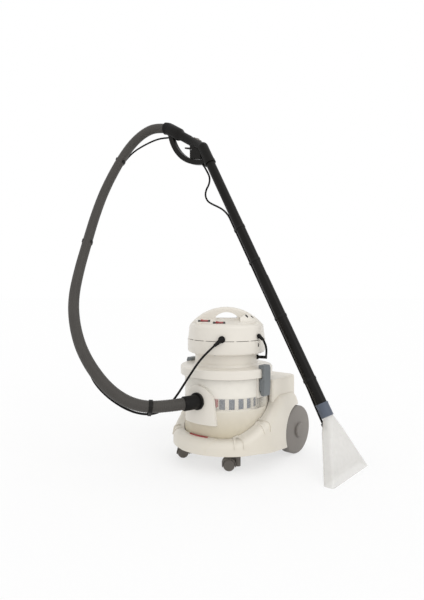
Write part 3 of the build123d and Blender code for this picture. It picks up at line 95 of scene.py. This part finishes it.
# moulded plastics: soft sheen, a faint drift of tone from the tool, a fine grain in the skin
plastics = {
    "ivoryAbs": {"hex": "#e6e1d8", "drift": "#dfd9ce", "rough": 0.33, "ior": 1.54, "specular": 0.45,
                 "grainMm": 1.6, "grain": 0.012, "coat": 0.06, "scuff": "#ddd6cb", "scuffShare": 0.06},
    "creamAbs": {"hex": "#e3ddd1", "drift": "#dbd4c6", "rough": 0.35, "ior": 1.54, "specular": 0.45,
                 "grainMm": 1.6, "grain": 0.015, "coat": 0.06, "scuff": "#d6cebf", "scuffShare": 0.08},
    "warmGreyPolypropylene": {"hex": "#8a8580", "drift": "#7f7a75", "rough": 0.48, "ior": 1.49,
                              "specular": 0.30, "grainMm": 1.2, "grain": 0.10, "coat": 0.0,
                              "scuff": "#97918b", "scuffShare": 0.25},
    "darkGreyPolypropylene": {"hex": "#726d67", "drift": "#66615c", "rough": 0.48, "ior": 1.49,
                              "specular": 0.28, "grainMm": 1.2, "grain": 0.10, "coat": 0.0,
                              "scuff": "#7b756f", "scuffShare": 0.25},
    "blueGreyAcetal": {"hex": "#7a7e80", "drift": "#707476", "rough": 0.40, "ior": 1.48, "specular": 0.30,
                       "grainMm": 1.2, "grain": 0.06, "coat": 0.0, "scuff": "#868c90", "scuffShare": 0.15},
    "slateAcetal": {"hex": "#5d6471", "drift": "#535a66", "rough": 0.40, "ior": 1.48, "specular": 0.30,
                    "grainMm": 1.2, "grain": 0.06, "coat": 0.0, "scuff": "#6a717d", "scuffShare": 0.15},
    "blackAbs": {"hex": "#181614", "drift": "#131210", "rough": 0.38, "ior": 1.54, "specular": 0.13,
                 "grainMm": 1.2, "grain": 0.08, "coat": 0.0, "scuff": "#242220", "scuffShare": 0.15},
    "blackNylon": {"hex": "#1a1917", "drift": "#141311", "rough": 0.52, "ior": 1.53, "specular": 0.18,
                   "grainMm": 0.9, "grain": 0.25, "coat": 0.0, "scuff": "#262422", "scuffShare": 0.15},
    "redAbs": {"hex": "#a8393d", "drift": "#992f33", "rough": 0.32, "ior": 1.54, "specular": 0.35,
               "grainMm": 1.0, "grain": 0.03, "coat": 0.05, "scuff": "#b2494c", "scuffShare": 0.10},
    "floatPolypropylene": {"hex": "#a3122c", "drift": "#940f27", "rough": 0.40, "ior": 1.49,
                           "specular": 0.25, "grainMm": 1.2, "grain": 0.05, "coat": 0.0, "scuff": "#ab2138",
                           "scuffShare": 0.10},
    "blackRubber": {"hex": "#191817", "drift": "#131212", "rough": 0.62, "ior": 1.52, "specular": 0.16,
                    "grainMm": 0.8, "grain": 0.30, "coat": 0.0, "scuff": "#242321", "scuffShare": 0.20},
    "hoseVinyl": {"hex": "#4b4844", "drift": "#403d3a", "rough": 0.50, "ior": 1.52, "specular": 0.30,
                  "grainMm": 1.0, "grain": 0.10, "coat": 0.0, "scuff": "#5a5651", "scuffShare": 0.20},
    "brownGasket": {"hex": "#7b7066", "drift": "#6d635a", "rough": 0.60, "ior": 1.50, "specular": 0.20,
                    "grainMm": 0.8, "grain": 0.15, "coat": 0.0, "scuff": "#857a70", "scuffShare": 0.15},
    "polyesterFelt": {"hex": "#35506f", "drift": "#2d4663", "rough": 0.85, "ior": 1.50, "specular": 0.15,
                      "grainMm": 0.7, "grain": 0.20, "coat": 0.0, "scuff": "#425c7c", "scuffShare": 0.20},
}
mould = {"driftMm": 110.0, "driftDetail": 2.0, "scuffMm": 7.0, "scuffDetail": 4.0, "scuffFrom": 0.56,
         "scuffTo": 0.78, "grainDetail": 3.0, "grainRise": 0.0004, "glossSpread": 0.02}


def mouldedPlastic(name, spec):
    material, tree = freshMaterial(name)
    place = put(tree, "ShaderNodeTexCoord").outputs["Object"]
    drift = put(tree, "ShaderNodeTexNoise", {"Vector": place, "Scale": 1000 / mould["driftMm"],
                                             "Detail": mould["driftDetail"]})
    tone = put(tree, "ShaderNodeMix", {
        "Factor_Float": drift.outputs["Fac"], "A_Color": hexLinear(spec["hex"]),
        "B_Color": hexLinear(spec["drift"])}, data_type="RGBA")
    marks = put(tree, "ShaderNodeTexNoise", {"Vector": place, "Scale": 1000 / mould["scuffMm"],
                                             "Detail": mould["scuffDetail"]})
    worn = put(tree, "ShaderNodeMapRange", {"Value": marks.outputs["Fac"], "From Min": mould["scuffFrom"],
                                            "From Max": mould["scuffTo"], "To Max": spec["scuffShare"]})
    colour = put(tree, "ShaderNodeMix", {"Factor_Float": worn.outputs["Result"], "A_Color": tone.outputs[2],
                                         "B_Color": hexLinear(spec["scuff"])}, data_type="RGBA")
    grain = put(tree, "ShaderNodeTexNoise", {"Vector": place, "Scale": 1000 / spec["grainMm"],
                                             "Detail": mould["grainDetail"]})
    bump = put(tree, "ShaderNodeBump", {"Height": grain.outputs["Fac"], "Strength": spec["grain"],
                                        "Distance": mould["grainRise"]})
    gloss = put(tree, "ShaderNodeMapRange", {"Value": marks.outputs["Fac"],
                                             "To Min": spec["rough"] - mould["glossSpread"],
                                             "To Max": spec["rough"] + mould["glossSpread"]})
    shader = put(tree, "ShaderNodeBsdfPrincipled", {
        "Base Color": colour.outputs[2], "Roughness": gloss.outputs["Result"],
        "Normal": bump.outputs["Normal"], "IOR": spec["ior"], "Specular IOR Level": spec["specular"],
        "Coat Weight": spec["coat"]})
    put(tree, "ShaderNodeOutputMaterial", {"Surface": shader.outputs["BSDF"]})
    return material


# see-through plastics: milky wall, clearest between two heights on one side, so that the parts behind show
clears = {
    # drum: the darker low colour is painted shade of the empty drum seen through the lower wall; the paler
    # high colour is painted light offsetting the shade under its rim
    "milkyPolypropylene": {"low": "#d9ceb6", "high": "#efebe2", "turnZ": (0.11, 0.24), "dense": 0.66,
                           "clear": 0.17, "window": (0.1885, 0.1940, 0.2262, 0.2320),
                           "side": (0.6361, -0.7716, 0.0), "sideFrom": (0.058, 0.098), "round": 0.60,
                           "glow": 0.85, "rough": 0.24, "ior": 1.49, "specular": 0.35},
    "clearStyrene": {"low": "#dedcd8", "high": "#e4e2de", "turnZ": (0.0, 0.15), "dense": 0.50, "clear": 0.42,
                     "window": (0.02, 0.04, 0.10, 0.13), "side": (1.0, 0.0, 0.0), "sideFrom": (0.0, 0.2),
                     "round": 0.42, "glow": 0.6, "rough": 0.18, "ior": 1.57, "specular": 0.40},
}
flow = {"mm": 16.67, "detail": 2.0, "cloud": 0.03, "glossSpread": 0.05, "bump": 0.015, "rise": 0.0006}


def milkyPlastic(name, spec):
    material, tree = freshMaterial(name)
    place = put(tree, "ShaderNodeTexCoord").outputs["Object"]
    height = put(tree, "ShaderNodeSeparateXYZ", {"Vector": place}).outputs["Z"]
    rise = put(tree, "ShaderNodeMapRange", {"Value": height, "From Min": spec["turnZ"][0],
                                            "From Max": spec["turnZ"][1]})
    # wall colour runs from low to high with height: for the drum, painted shade low down and painted light
    # near the top
    tone = put(tree, "ShaderNodeMix", {
        "Factor_Float": rise.outputs["Result"], "A_Color": hexLinear(spec["low"]),
        "B_Color": hexLinear(spec["high"])}, data_type="RGBA")
    streaks = put(tree, "ShaderNodeTexNoise", {"Vector": place, "Scale": 1000 / flow["mm"],
                                               "Detail": flow["detail"]}).outputs["Fac"]
    cloud = put(tree, "ShaderNodeMapRange", {"Value": streaks, "To Min": -flow["cloud"],
                                             "To Max": flow["cloud"]})
    bottom, clearFrom, clearTo, top = spec["window"]
    opens = put(tree, "ShaderNodeMapRange", {"Value": height, "From Min": bottom, "From Max": clearFrom},
                interpolation_type="SMOOTHSTEP")
    closes = put(tree, "ShaderNodeMapRange", {"Value": height, "From Min": top, "From Max": clearTo},
                 interpolation_type="SMOOTHSTEP")
    band = put(tree, "ShaderNodeMath", {0: opens.outputs["Result"], 1: closes.outputs["Result"]},
               operation="MULTIPLY")
    reach = put(tree, "ShaderNodeVectorMath", {0: place, 1: spec["side"]}, operation="DOT_PRODUCT")
    polish = put(tree, "ShaderNodeMapRange", {
        "Value": reach.outputs["Value"], "From Min": spec["sideFrom"][0], "From Max": spec["sideFrom"][1],
        "To Min": spec["round"], "To Max": spec["clear"]})
    depth = put(tree, "ShaderNodeMapRange", {"Value": band.outputs[0], "To Min": spec["dense"],
                                             "To Max": polish.outputs["Result"]})
    wall = put(tree, "ShaderNodeMath", {0: depth.outputs["Result"], 1: cloud.outputs["Result"]},
               operation="ADD")
    # light passes a milky wall more freely than a clear view does
    rays = put(tree, "ShaderNodeLightPath").outputs
    lit = put(tree, "ShaderNodeMath", {0: rays["Is Shadow Ray"], 1: rays["Is Diffuse Ray"]},
              operation="MAXIMUM")
    lets = put(tree, "ShaderNodeMapRange", {"Value": lit.outputs[0], "To Min": 1.0,
                                            "To Max": 1 - spec["glow"]})
    seen = put(tree, "ShaderNodeMath", {0: wall.outputs[0], 1: lets.outputs["Result"]}, operation="MULTIPLY")
    gloss = put(tree, "ShaderNodeMapRange", {"Value": streaks, "To Min": spec["rough"] - flow["glossSpread"],
                                             "To Max": spec["rough"] + flow["glossSpread"]})
    bump = put(tree, "ShaderNodeBump", {"Height": streaks, "Strength": flow["bump"],
                                        "Distance": flow["rise"]})
    shader = put(tree, "ShaderNodeBsdfPrincipled", {
        "Base Color": tone.outputs[2], "Normal": bump.outputs["Normal"], "Roughness": gloss.outputs["Result"],
        "IOR": spec["ior"], "Specular IOR Level": spec["specular"], "Alpha": seen.outputs[0]})
    put(tree, "ShaderNodeOutputMaterial", {"Surface": shader.outputs["BSDF"]})
    return material


# turned and pressed metal: fine rings or brush lines in the gloss
metals = {
    "turnedSteel": {"hex": "#b9bbbd", "rough": 0.30, "lineMm": 0.8},
    "blackedSteel": {"hex": "#39393b", "rough": 0.42, "lineMm": 0.8},
    "pressedAluminium": {"hex": "#cfd1d3", "rough": 0.38, "lineMm": 1.2},
}
turning = {"waver": 0.6, "brighter": 0.06, "duller": 0.08, "bump": 0.08, "rise": 0.0002}


def workedMetal(name, spec):
    material, tree = freshMaterial(name)
    place = put(tree, "ShaderNodeTexCoord").outputs["Object"]
    lines = put(tree, "ShaderNodeTexWave", {
        "Vector": place, "Scale": 1000 / (2 * math.pi * spec["lineMm"]), "Distortion": turning["waver"]},
        wave_type="RINGS", rings_direction="Z")
    gloss = put(tree, "ShaderNodeMapRange", {"Value": lines.outputs["Fac"],
                                             "To Min": spec["rough"] - turning["brighter"],
                                             "To Max": spec["rough"] + turning["duller"]})
    bump = put(tree, "ShaderNodeBump", {"Height": lines.outputs["Fac"], "Strength": turning["bump"],
                                        "Distance": turning["rise"]})
    shader = put(tree, "ShaderNodeBsdfPrincipled", {
        "Base Color": hexLinear(spec["hex"]), "Metallic": 1.0, "Roughness": gloss.outputs["Result"],
        "Normal": bump.outputs["Normal"]})
    put(tree, "ShaderNodeOutputMaterial", {"Surface": shader.outputs["BSDF"]})
    return material


finishes = {name: mouldedPlastic(name, spec) for name, spec in plastics.items()}
finishes.update({name: milkyPlastic(name, spec) for name, spec in clears.items()})
finishes.update({name: workedMetal(name, spec) for name, spec in metals.items()})
print("finishes made:", len(finishes))

# which finish each record slot is drawn with
slotFinish = {
    "chassis_cream": "creamAbs", "shell_white": "ivoryAbs", "drum_clear": "milkyPolypropylene",
    "tank_cream": "creamAbs", "wheel_grey": "warmGreyPolypropylene", "hub_grey": "warmGreyPolypropylene",
    "black_plastic": "blackAbs", "black_rubber": "blackRubber", "latch_grey": "blueGreyAcetal",
    "red_plastic": "redAbs", "hose_grey": "hoseVinyl", "tube_black": "blackRubber", "steel": "turnedSteel",
    "aluminium": "pressedAluminium", "filter_cloth": "polyesterFelt", "nozzle_clear": "clearStyrene",
}


def linkPiece(name, mesh, body, slot, *stoodFor):
    piece = bpy.data.objects.new(name, mesh)
    bpy.context.scene.collection.objects.link(piece)
    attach(piece, body)
    if stoodFor:
        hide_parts(*stoodFor)
    return piece


# rigid mouldings: the frame's own surface, welded and smoothed over its curves
smoothing = {"weld": 0.00001, "crease": 32.0}


def smoothMoulding(node, finish, spec=smoothing):
    mesh = nodes[node].data.copy()
    shape = bmesh.new()
    shape.from_mesh(mesh)
    bmesh.ops.remove_doubles(shape, verts=shape.verts, dist=spec["weld"])
    for face in shape.faces:
        face.smooth = True
    for edge in shape.edges:
        edge.smooth = len(edge.link_faces) == 2 and edge.calc_face_angle() < math.radians(spec["crease"])
    shape.to_mesh(mesh)
    shape.free()
    mesh.name = node + "Moulding"
    mesh.materials.clear()
    mesh.materials.append(finishes[finish])
    return linkPiece(node + ".moulding", mesh, bodyOf[node], slotOf[node], node)


# routes of the hose and the tubes, control points in metres
hose = {"route": [
    (-0.0108, -0.2027, 0.2172), (-0.034, -0.2558, 0.2155), (-0.072, -0.309, 0.217), (-0.121, -0.348, 0.236),
    (-0.189, -0.373, 0.281), (-0.295, -0.368, 0.361), (-0.390, -0.334, 0.445), (-0.472, -0.283, 0.537),
    (-0.532, -0.215, 0.641), (-0.573, -0.149, 0.750), (-0.601, -0.086, 0.874), (-0.607, -0.028, 0.994),
    (-0.580, 0.031, 1.118), (-0.543, 0.058, 1.180), (-0.497, 0.080, 1.220), (-0.443, 0.096, 1.236),
    (-0.3955, 0.106, 1.225)], "radius": 0.019, "valley": 0.0176, "ribs": 300, "stepsPerRib": 4, "sides": 28,
    "length": 1.601}
sprayTube = {"route": [
    (0.058, -0.136, 0.396), (0.038, -0.155, 0.371), (0.019, -0.170, 0.342), (0.004, -0.184, 0.311),
    (-0.012, -0.197, 0.279), (-0.027, -0.207, 0.250), (-0.044, -0.220, 0.221), (-0.055, -0.247, 0.199),
    (-0.068, -0.283, 0.190), (-0.096, -0.318, 0.196), (-0.136, -0.344, 0.214), (-0.186, -0.367, 0.247),
    (-0.238, -0.373, 0.285), (-0.282, -0.357, 0.319), (-0.324, -0.338, 0.369), (-0.391, -0.315, 0.427),
    (-0.452, -0.283, 0.490), (-0.505, -0.244, 0.558), (-0.545, -0.198, 0.630), (-0.576, -0.152, 0.707),
    (-0.600, -0.107, 0.789), (-0.616, -0.066, 0.873), (-0.622, -0.025, 0.959), (-0.612, 0.016, 1.046),
    (-0.592, 0.048, 1.102), (-0.558, 0.073, 1.149), (-0.510, 0.089, 1.172), (-0.462, 0.100, 1.186),
    (-0.420, 0.107, 1.191), (-0.384, 0.109, 1.186)], "radius": 0.0035, "length": 1.810}
tankTube = {"route": [
    (0.148, 0.002, 0.410), (0.154, 0.006, 0.397), (0.154, 0.012, 0.380), (0.148, 0.021, 0.364),
    (0.138, 0.034, 0.352), (0.128, 0.050, 0.347)], "radius": 0.0035, "length": 0.091}
wand = {"foot": (0.3202, 0.109, 0.1701), "lean": 28.78}
drawing = {"stepsPerKnot": 10, "roundness": 4}  # how finely the lines are drawn


def besideWand(distance, offset):
    lean = math.radians(wand["lean"])
    foot = Vector(wand["foot"])
    up = Vector((-math.sin(lean), 0, math.cos(lean)))
    under = Vector((-math.cos(lean), 0, -math.sin(lean)))
    return tuple(foot + up * distance + under * offset)


# distance up the wand and offset from its axis
wandTube = {"beside": [
    (1.012, 0.030), (0.985, 0.0275), (0.955, 0.027), (0.934, 0.043), (0.925, 0.066), (0.907, 0.080),
    (0.882, 0.080), (0.858, 0.065), (0.834, 0.047), (0.810, 0.032), (0.780, 0.0226), (0.7486, 0.0226),
    (0.1381, 0.0226), (0.094, 0.0226), (0.050, 0.0258), (-0.014, 0.0268)], "radius": 0.0035, "length": 1.064}
wandTube["route"] = [besideWand(distance, offset) for distance, offset in wandTube["beside"]]


def routeCurve(name, route):
    data = bpy.data.curves.new(name, "CURVE")
    data.dimensions = "3D"
    data.resolution_u = drawing["stepsPerKnot"]
    spline = data.splines.new("NURBS")
    spline.points.add(len(route) - 1)
    for knot, place in zip(spline.points, route):
        knot.co = (*place, 1.0)
    spline.order_u = 3
    spline.use_endpoint_u = True
    return data


def lineOf(route):
    probe = bpy.data.objects.new("probe", routeCurve("probe", route))
    bpy.context.scene.collection.objects.link(probe)
    bpy.context.view_layer.update()
    mesh = bpy.data.meshes.new_from_object(probe.evaluated_get(bpy.context.evaluated_depsgraph_get()))
    places = [v.co.copy() for v in mesh.vertices]
    bpy.data.meshes.remove(mesh)
    bpy.data.objects.remove(probe)
    return places


def newTree(name, inputs):
    tree = bpy.data.node_groups.new(name, "GeometryNodeTree")
    tree.interface.new_socket("Geometry", in_out="INPUT", socket_type="NodeSocketGeometry")
    for label, kind in inputs:
        tree.interface.new_socket(label, in_out="INPUT", socket_type="NodeSocket" + kind)
    tree.interface.new_socket("Geometry", in_out="OUTPUT", socket_type="NodeSocketGeometry")
    return tree, put(tree, "NodeGroupInput").outputs


def grow(source, tree, values):
    bpy.context.scene.collection.objects.link(source)
    modifier = source.modifiers.new("grow", "NODES")
    modifier.node_group = tree
    for socket in tree.interface.items_tree:
        if socket.in_out == "INPUT" and socket.name in values:
            modifier[socket.identifier] = values[socket.name]
    bpy.context.view_layer.update()
    mesh = bpy.data.meshes.new_from_object(source.evaluated_get(bpy.context.evaluated_depsgraph_get()))
    bpy.data.objects.remove(source)
    return mesh


def finishTree(tree, geometry, material):
    real = put(tree, "GeometryNodeRealizeInstances", {"Geometry": geometry})
    dressed = put(tree, "GeometryNodeSetMaterial", {"Geometry": real.outputs[0], "Material": material})
    put(tree, "NodeGroupOutput", {"Geometry": dressed.outputs[0]})


def ribTree(material):
    tree, given = newTree("ribbedHose", (
        ("Ribs", "Int"), ("Steps", "Int"), ("Crest", "Float"), ("Valley", "Float"), ("Sides", "Int")))
    count = put(tree, "ShaderNodeMath", {0: given["Ribs"], 1: given["Steps"]}, operation="MULTIPLY")
    line = put(tree, "GeometryNodeResampleCurve", {"Curve": given["Geometry"], "Count": count.outputs[0]})
    index = put(tree, "GeometryNodeInputIndex").outputs[0]
    step = put(tree, "ShaderNodeMath", {0: index, 1: given["Steps"]}, operation="DIVIDE")
    turn = put(tree, "ShaderNodeMath", {0: step.outputs[0], 1: 2 * math.pi}, operation="MULTIPLY")
    wave = put(tree, "ShaderNodeMath", {0: turn.outputs[0]}, operation="SINE")
    girth = put(tree, "ShaderNodeMapRange", {"Value": wave.outputs[0], "From Min": -1.0, "From Max": 1.0,
                                             "To Min": given["Valley"], "To Max": given["Crest"]})
    ring = put(tree, "GeometryNodeCurvePrimitiveCircle", {"Resolution": given["Sides"], "Radius": 1.0})
    skin = put(tree, "GeometryNodeCurveToMesh", {
        "Curve": line.outputs[0], "Profile Curve": ring.outputs["Curve"], "Scale": girth.outputs["Result"],
        "Fill Caps": True})
    smooth = put(tree, "GeometryNodeSetShadeSmooth", {"Geometry": skin.outputs[0]})
    finishTree(tree, smooth.outputs[0], material)
    return tree


def makeHose(spec, *onIt):
    source = bpy.data.objects.new("hoseLine", routeCurve("hoseLine", spec["route"]))
    mesh = grow(source, ribTree(finishes["hoseVinyl"]), {
        "Ribs": spec["ribs"], "Steps": spec["stepsPerRib"], "Crest": spec["radius"], "Valley": spec["valley"],
        "Sides": spec["sides"]})
    piece = linkPiece("suctionHose", mesh, "machine", "hose_grey", "suction_hose")
    lineOf(spec["route"])


# a strap and two open clips that tie the solution tube to the hose, each drawn round both lines
straps = {"shares": (0.066, 0.591, 0.839), "openFrom": (None, -0.6, -0.6), "width": 0.011, "wall": 0.0022,
          "tubeWall": 0.0016, "slack": 0.0009, "soften": 0.0006, "sides": 72}


def pointAlong(line, share):
    runs = [(b - a).length for a, b in zip(line, line[1:])]
    left = share * sum(runs)
    for a, b, run in zip(line, line[1:], runs):
        if left <= run:
            return a.lerp(b, left / run), (b - a).normalized()
        left -= run
    return line[-1], (line[-1] - line[-2]).normalized()


def hullLoop(big, small, gap, sides):
    loop = []
    for i in range(sides):
        turn = 2 * math.pi * i / sides
        out = (math.cos(turn), math.sin(turn))
        if gap * out[0] + small > big:
            loop.append((gap + small * out[0], small * out[1]))
        else:
            loop.append((big * out[0], big * out[1]))
    return loop


def makeStraps(spec):
    hoseLine, tubeLine = lineOf(hose["route"]), lineOf(sprayTube["route"])
    shape = bmesh.new()
    for share, openFrom in zip(spec["shares"], spec["openFrom"]):
        place, ahead = pointAlong(hoseLine, share)
        towards = min(tubeLine, key=lambda p: (p - place).length) - place
        towards -= ahead * towards.dot(ahead)
        across, gap = towards.normalized(), towards.length
        side = ahead.cross(across)
        insideBig, insideSmall = hose["valley"], sprayTube["radius"] + spec["slack"]
        outsideBig, outsideSmall = hose["radius"] + spec["wall"], insideSmall + spec["tubeWall"]
        half, soft = spec["width"] / 2, spec["soften"]
        section = ((-half, insideBig, insideSmall), (-half, outsideBig - soft, outsideSmall - soft),
                   (soft - half, outsideBig, outsideSmall), (half - soft, outsideBig, outsideSmall),
                   (half, outsideBig - soft, outsideSmall - soft), (half, insideBig, insideSmall))
        rows = [[shape.verts.new(place + ahead * shift + across * x + side * y)
                 for x, y in hullLoop(big, small, gap, spec["sides"])] for shift, big, small in section]
        kept = list(range(spec["sides"])) + [0]
        if openFrom is not None:
            shut = round(spec["sides"] * math.acos(openFrom) / (2 * math.pi))
            kept = [i % spec["sides"] for i in range(-shut, shut + 1)]
            for end in (kept[0], kept[-1]):
                shape.faces.new([row[end] for row in rows])
        for row, after in zip(rows, rows[1:] + rows[:1]):
            for i, j in zip(kept, kept[1:]):
                shape.faces.new((row[i], row[j], after[j], after[i]))
    bmesh.ops.delete(shape, geom=[v for v in shape.verts if not v.link_faces], context="VERTS")
    bmesh.ops.recalc_face_normals(shape, faces=shape.faces)
    mesh = bpy.data.meshes.new("hoseStraps")
    shape.to_mesh(mesh)
    shape.free()
    mesh.materials.append(finishes["blackNylon"])
    return linkPiece("hoseStraps", mesh, "machine", "black_plastic", "hose_straps")


# cross-head screws up into the skirt, heads down
screws = {"count": 4, "ring": 0.117, "top": 0.3625, "turn": 20.0, "radius": 0.0036, "taper": 0.86,
          "sides": 32, "depth": 0.0016, "recess": 0.0042, "recessWidth": 0.0009, "recessDepth": 0.0008}


def screwTree(material):
    tree, given = newTree("skirtScrews", (
        ("Count", "Int"), ("Ring", "Float"), ("Place", "Vector"), ("Turn", "Vector"), ("Radius", "Float"),
        ("Taper", "Float"), ("Sides", "Int"), ("Depth", "Float"), ("Slot", "Vector"), ("Cross", "Vector")))
    ring = put(tree, "GeometryNodeMeshCircle", {"Vertices": given["Count"], "Radius": given["Ring"]})
    placed = put(tree, "GeometryNodeTransform", {"Geometry": ring.outputs[0], "Translation": given["Place"],
                                                 "Rotation": given["Turn"]})
    rim = put(tree, "ShaderNodeMath", {0: given["Radius"], 1: given["Taper"]}, operation="MULTIPLY")
    head = put(tree, "GeometryNodeMeshCone", {"Vertices": given["Sides"], "Radius Top": given["Radius"],
                                              "Radius Bottom": rim.outputs[0], "Depth": given["Depth"]})
    slot = put(tree, "GeometryNodeMeshCube", {"Size": given["Slot"]})
    cross = put(tree, "GeometryNodeMeshCube", {"Size": given["Cross"]})
    cut = put(tree, "GeometryNodeMeshBoolean", {"Mesh 1": head.outputs[0], "Mesh 2": slot.outputs[0]},
              operation="DIFFERENCE", solver="EXACT")
    tree.links.new(cross.outputs[0], cut.inputs["Mesh 2"])  # joined, crossing bars would leave nothing
    spread = put(tree, "GeometryNodeInstanceOnPoints", {"Points": placed.outputs[0],
                                                        "Instance": cut.outputs[0]})
    finishTree(tree, spread.outputs[0], material)
    return tree


def makeScrews(spec):
    source = bpy.data.objects.new("screwRing", bpy.data.meshes.new("screwRing"))
    mesh = grow(source, screwTree(finishes["turnedSteel"]), {
        "Count": spec["count"], "Ring": spec["ring"], "Place": (0, 0, spec["top"] - spec["depth"]),
        "Turn": (0, 0, math.radians(spec["turn"])), "Radius": spec["radius"], "Taper": spec["taper"],
        "Sides": spec["sides"], "Depth": spec["depth"],
        "Slot": (spec["recess"], spec["recessWidth"], 2 * spec["recessDepth"]),
        "Cross": (spec["recessWidth"], spec["recess"], 2 * spec["recessDepth"])})
    linkPiece("skirtScrews", mesh, "machine", "steel", "head_screws")


def makeTube(name, spec, node):
    data = routeCurve(name, spec["route"])
    data.bevel_depth = spec["radius"]
    data.bevel_resolution = drawing["roundness"]
    data.use_fill_caps = True
    data.materials.append(finishes["blackRubber"])
    piece = linkPiece(name, data, "machine", "tube_black", node)


makeHose(hose, makeStraps(straps))
makeTube("sprayTube", sprayTube, "spray_tube")
makeTube("tankTube", tankTube, "tank_tube")
makeTube("wandTube", wandTube, "wand_tube")
print("hose, straps and tubes laid")
makeScrews(screws)
print("screws set")

redrawn = {"suction_hose", "spray_tube", "tank_tube", "wand_tube", "hose_straps", "head_screws"}
special = {"wand_clips": "blackNylon", "caster_wheels_left": "darkGreyPolypropylene",
           "caster_wheels_right": "darkGreyPolypropylene", "caster_yoke_left": "darkGreyPolypropylene",
           "caster_yoke_right": "darkGreyPolypropylene", "seam_ring": "brownGasket",
           "nozzle_collar": "slateAcetal", "float_block": "floatPolypropylene", "latch_pins": "blackedSteel"}
for node in sorted(nodes):
    if node not in redrawn:
        smoothMoulding(node, special.get(node, slotFinish[slotOf[node]]))
print("mouldings finished")

# black blocks: two paint the shade inside the head's sockets, their tops falling with its skin, and one sits
# under the side gland
shadeInserts = {"rim": 0.0011, "well": 0.0006, "soften": 0.0004, "least": 0.0002, "blocks": (
    {"foot": (0.0864, -0.0026, 0.4787), "turn": (0.0, 0.0, 19.5), "size": (0.0089, 0.0059, 0.0057),
     "fall": (-0.81, 0.75)},
    {"foot": (0.0939, 0.0165, 0.4761), "turn": (0.0, 0.0, 19.5), "size": (0.0089, 0.0059, 0.0057),
     "fall": (-0.83, 0.36)},
    {"foot": (0.1278, 0.0, 0.392), "turn": (0.0, 90.0, 0.0), "size": (0.0116, 0.0046, 0.0032),
     "fall": (0.0, 0.0)},
)}


def makeShadeInserts(spec):
    shape = bmesh.new()
    for entry in spec["blocks"]:
        turn = Euler([math.radians(angle) for angle in entry["turn"]]).to_matrix().to_4x4()
        stand = Matrix.Translation(entry["foot"]) @ turn
        width, depth, height = entry["size"]
        part = bmesh.new()
        bmesh.ops.create_cube(part, size=1.0, matrix=Matrix.Diagonal((width, depth, height, 1.0)))
        bmesh.ops.translate(part, verts=part.verts, vec=(0, 0, height / 2))
        upright = [edge for edge in part.edges if abs(edge.verts[0].co.z - edge.verts[1].co.z) > height / 2]
        bmesh.ops.bevel(part, geom=upright, offset=spec["soften"], segments=2, affect="EDGES")
        top = max(part.faces, key=lambda face: face.calc_center_median().z)
        for vert in top.verts:
            fall = entry["fall"][0] * vert.co.x + entry["fall"][1] * vert.co.y
            vert.co.z = max(vert.co.z + fall, spec["least"])
        part.normal_update()
        bmesh.ops.inset_region(part, faces=[top], thickness=spec["rim"])
        bmesh.ops.translate(part, verts=top.verts, vec=(0, 0, -spec["well"]))
        part.transform(stand)
        block = bpy.data.meshes.new("shadeInsert")
        part.to_mesh(block)
        part.free()
        shape.from_mesh(block)
        bpy.data.meshes.remove(block)
    mesh = bpy.data.meshes.new("socketShadeInserts")
    shape.to_mesh(mesh)
    shape.free()
    # black finish standing in for the shade inside the head's sockets
    mesh.materials.append(finishes["blackAbs"])
    linkPiece("socketShadeInserts", mesh, "machine", "black_plastic")


makeShadeInserts(shadeInserts)
print("socket inserts set")

# pale seamless floor, even soft daylight from the front, white all round
studio = {"floor": "#ffffff", "half": 60.0, "shadowShare": 0.35, "world": 0.88, "sun": 0.55,
          "sunSpread": 40.0, "sunFrom": (1.0, -0.25, 0.75)}


def whiteBehind(tree):
    rays = put(tree, "ShaderNodeLightPath").outputs
    seen = put(tree, "ShaderNodeMath", {0: rays["Is Camera Ray"], 1: rays["Is Glossy Ray"]},
               operation="MAXIMUM")
    either = put(tree, "ShaderNodeMath", {0: seen.outputs[0], 1: rays["Is Transmission Ray"]},
                 operation="MAXIMUM")
    return either.outputs[0]


def makeStudio(spec):
    half = spec["half"]
    data = bpy.data.meshes.new("paleFloor")
    corners = [(-half, -half, 0), (half, -half, 0), (half, half, 0), (-half, half, 0)]
    data.from_pydata(corners, [], [(0, 1, 2, 3)])
    floor = bpy.data.objects.new("paleFloor", data)
    bpy.context.scene.collection.objects.link(floor)
    material, tree = freshMaterial("paleVinylFloor")
    shade = put(tree, "ShaderNodeBsdfDiffuse", {"Color": hexLinear(spec["floor"])})
    glow = put(tree, "ShaderNodeEmission", {"Color": (1, 1, 1, 1), "Strength": 1.0})
    share = put(tree, "ShaderNodeMath", {0: whiteBehind(tree), 1: 1 - spec["shadowShare"]},
                operation="MULTIPLY")
    surface = put(tree, "ShaderNodeMixShader", {0: share.outputs[0], 1: shade.outputs[0], 2: glow.outputs[0]})
    put(tree, "ShaderNodeOutputMaterial", {"Surface": surface.outputs[0]})
    data.materials.append(material)
    world = bpy.data.worlds.new("softStudio")
    bpy.context.scene.world = world
    world.use_nodes = True
    tree = world.node_tree
    tree.nodes.clear()
    level = put(tree, "ShaderNodeMix", {"Factor_Float": whiteBehind(tree), "A_Float": spec["world"],
                                        "B_Float": 1.0})
    sky = put(tree, "ShaderNodeBackground", {"Color": (1, 1, 1, 1), "Strength": level.outputs[0]})
    put(tree, "ShaderNodeOutputWorld", {"Surface": sky.outputs[0]})
    lamp = bpy.data.lights.new("softDaylight", "SUN")
    lamp.energy = spec["sun"]
    lamp.angle = math.radians(spec["sunSpread"])
    light = bpy.data.objects.new("softDaylight", lamp)
    light.rotation_euler = Vector(spec["sunFrom"]).to_track_quat("Z", "Y").to_euler()
    bpy.context.scene.collection.objects.link(light)


makeStudio(studio)
bpy.context.scene.view_settings.view_transform = "Standard"
print("studio lit")
